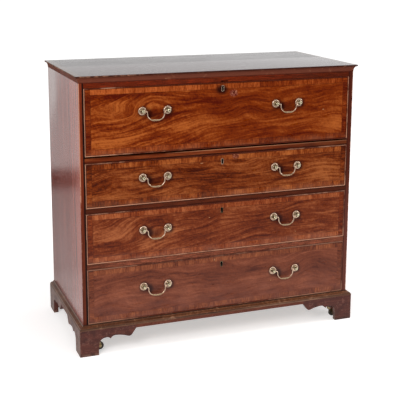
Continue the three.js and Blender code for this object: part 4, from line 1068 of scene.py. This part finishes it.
def floor_finish():
    """Pale floor, lifted to white for the camera. Its reflection is painted: shiny wood sees it fade
    away in front and glow in bands behind the chest.

    In a reflection it also has a painted dark gap at the end of the studio's paper, behind on the
    left.
    """
    f = Finish("pale_floor")
    path = f.new("ShaderNodeLightPath")
    for_eye, for_gloss = path.outputs["Is Camera Ray"], path.outputs["Is Glossy Ray"]
    paint = f.new("ShaderNodeBsdfDiffuse")
    paint.inputs[0].default_value = (0.815, 0.79, 0.78, 1)
    far = f.op("SQRT", f.add(f.times(f.x, f.x), f.times(f.y, f.y)))
    # Painted reflection: the floor glows for shiny wood in bands behind the chest.
    mirrored = f.add(f.step(f.y, 0.5, 0.2, 0, 0.2), f.step(f.y, 2.8, 3.1, 0, 0.18),
                     f.step(f.y, 5, 8, 0, 0.16))
    lift = f.add(f.times(for_eye, f.step(far, 0.9, 2.2, 0.47, 0.75)), f.times(for_gloss, mirrored))
    glow = f.new("ShaderNodeEmission")
    f.link(lift, glow.inputs[1])
    both = f.new("ShaderNodeAddShader")
    f.link(paint.outputs[0], both.inputs[0])
    f.link(glow.outputs[0], both.inputs[1])
    # Painted reflection: black for shiny wood in front, and in a dark gap behind on the left.
    faded = f.step(f.y, -0.5, -2.6)
    depth = f.add(f.times(f.x, -0.352), f.times(f.y, 0.936), 3.486)
    gap = f.between(depth, 5.72, 6.2, 6.42, 6.66)
    dim = f.times(f.between(f.y, 0.5, 0.8, 2.6, 2.9), 0.33)
    gap = f.times(f.op("MAXIMUM", gap, dim), f.step(f.x, -0.6, -0.62))
    black = f.new("ShaderNodeBsdfDiffuse")
    black.inputs[0].default_value = (0, 0, 0, 1)
    unseen = f.new("ShaderNodeMixShader")
    f.link(f.times(for_gloss, f.op("MAXIMUM", faded, gap)), unseen.inputs[0])
    f.link(both.outputs[0], unseen.inputs[1])
    f.link(black.outputs[0], unseen.inputs[2])
    out = f.new("ShaderNodeOutputMaterial")
    f.link(unseen.outputs[0], out.inputs["Surface"])
    return f.material


FLOOR_HALF = 60
floor_mesh = bpy.data.meshes.new("floor")
floor_mesh.from_pydata([(-FLOOR_HALF, -FLOOR_HALF, 0), (FLOOR_HALF, -FLOOR_HALF, 0),
                        (FLOOR_HALF, FLOOR_HALF, 0), (-FLOOR_HALF, FLOOR_HALF, 0)],
                       [], [(0, 1, 2, 3)])
floor_mesh.materials.append(floor_finish())
floor = bpy.data.objects.new("floor", floor_mesh)
bpy.context.scene.collection.objects.link(floor)


def studio():
    """White behind and beside the chest, dim in front of it, where the camera stands."""
    world = bpy.data.worlds.new("studio")
    bpy.context.scene.world = world
    world.use_nodes = True
    tree = world.node_tree
    link = tree.links.new
    path = tree.nodes.new("ShaderNodeLightPath")
    split = tree.nodes.new("ShaderNodeSeparateXYZ")
    link(tree.nodes.new("ShaderNodeTexCoord").outputs["Object"], split.inputs[0])
    shine = tree.nodes.new("ShaderNodeMapRange")
    shine.interpolation_type = "SMOOTHSTEP"
    for key, value in (("From Min", -0.75), ("From Max", 0.15), ("To Min", 0.05), ("To Max", 1)):
        shine.inputs[key].default_value = value
    link(split.outputs[1], shine.inputs["Value"])
    for_gloss = tree.nodes.new("ShaderNodeMix")
    for_gloss.inputs[2].default_value = 0.46
    link(path.outputs["Is Glossy Ray"], for_gloss.inputs[0])
    link(shine.outputs[0], for_gloss.inputs[3])
    for_eye = tree.nodes.new("ShaderNodeMix")
    for_eye.inputs[3].default_value = 1
    link(path.outputs["Is Camera Ray"], for_eye.inputs[0])
    link(for_gloss.outputs[0], for_eye.inputs[2])
    background = tree.nodes["Background"]
    background.inputs[0].default_value = (1, 1, 1, 1)
    link(for_eye.outputs[0], background.inputs[1])


def lamp(name, place, target, size, power):
    """A soft box of a given size and power that looks from one place at another."""
    light = bpy.data.lights.new(name, "AREA")
    light.shape = "RECTANGLE"
    light.size, light.size_y = size
    light.energy = power
    holder = bpy.data.objects.new(name, light)
    bpy.context.scene.collection.objects.link(holder)
    holder.location = place
    aim = np.array(target) - np.array(place)
    tilt = math.atan2(math.hypot(aim[0], aim[1]), -aim[2])
    holder.rotation_euler = (tilt, 0, math.atan2(aim[1], aim[0]) - math.pi / 2)


studio()
lamp("softbox_left", (-3, -3.4, 3), (0, 0, 0.6), (1.8, 1.8), 120)
lamp("softbox_right", (3.6, -1.6, 2.4), (0, 0, 0.5), (1.6, 1.6), 45)
lamp("overhead", (0.4, -0.6, 4), (0, 0, 0.6), (2.6, 2), 45)

# Fitted to the corners of the case. The lens axis meets the picture above its middle row, so
# the sides stay nearly parallel.
PICTURE = 400
FOCAL_PIXELS = 933.2
AXIS_ROW = 140
FILM = 36

camera = bpy.data.cameras.new("camera")
camera.sensor_width = FILM
camera.lens = FOCAL_PIXELS / PICTURE * FILM
camera.shift_y = (AXIS_ROW - PICTURE / 2) / PICTURE
eye = bpy.data.objects.new("camera", camera)
bpy.context.scene.collection.objects.link(eye)
eye.location = (-1.3117, -3.5157, 1.4997)
eye.rotation_euler = (math.radians(90 - 11.322), math.radians(-0.198), math.radians(-20.48))
bpy.context.scene.camera = eye
bpy.context.scene.view_settings.view_transform = "Standard"
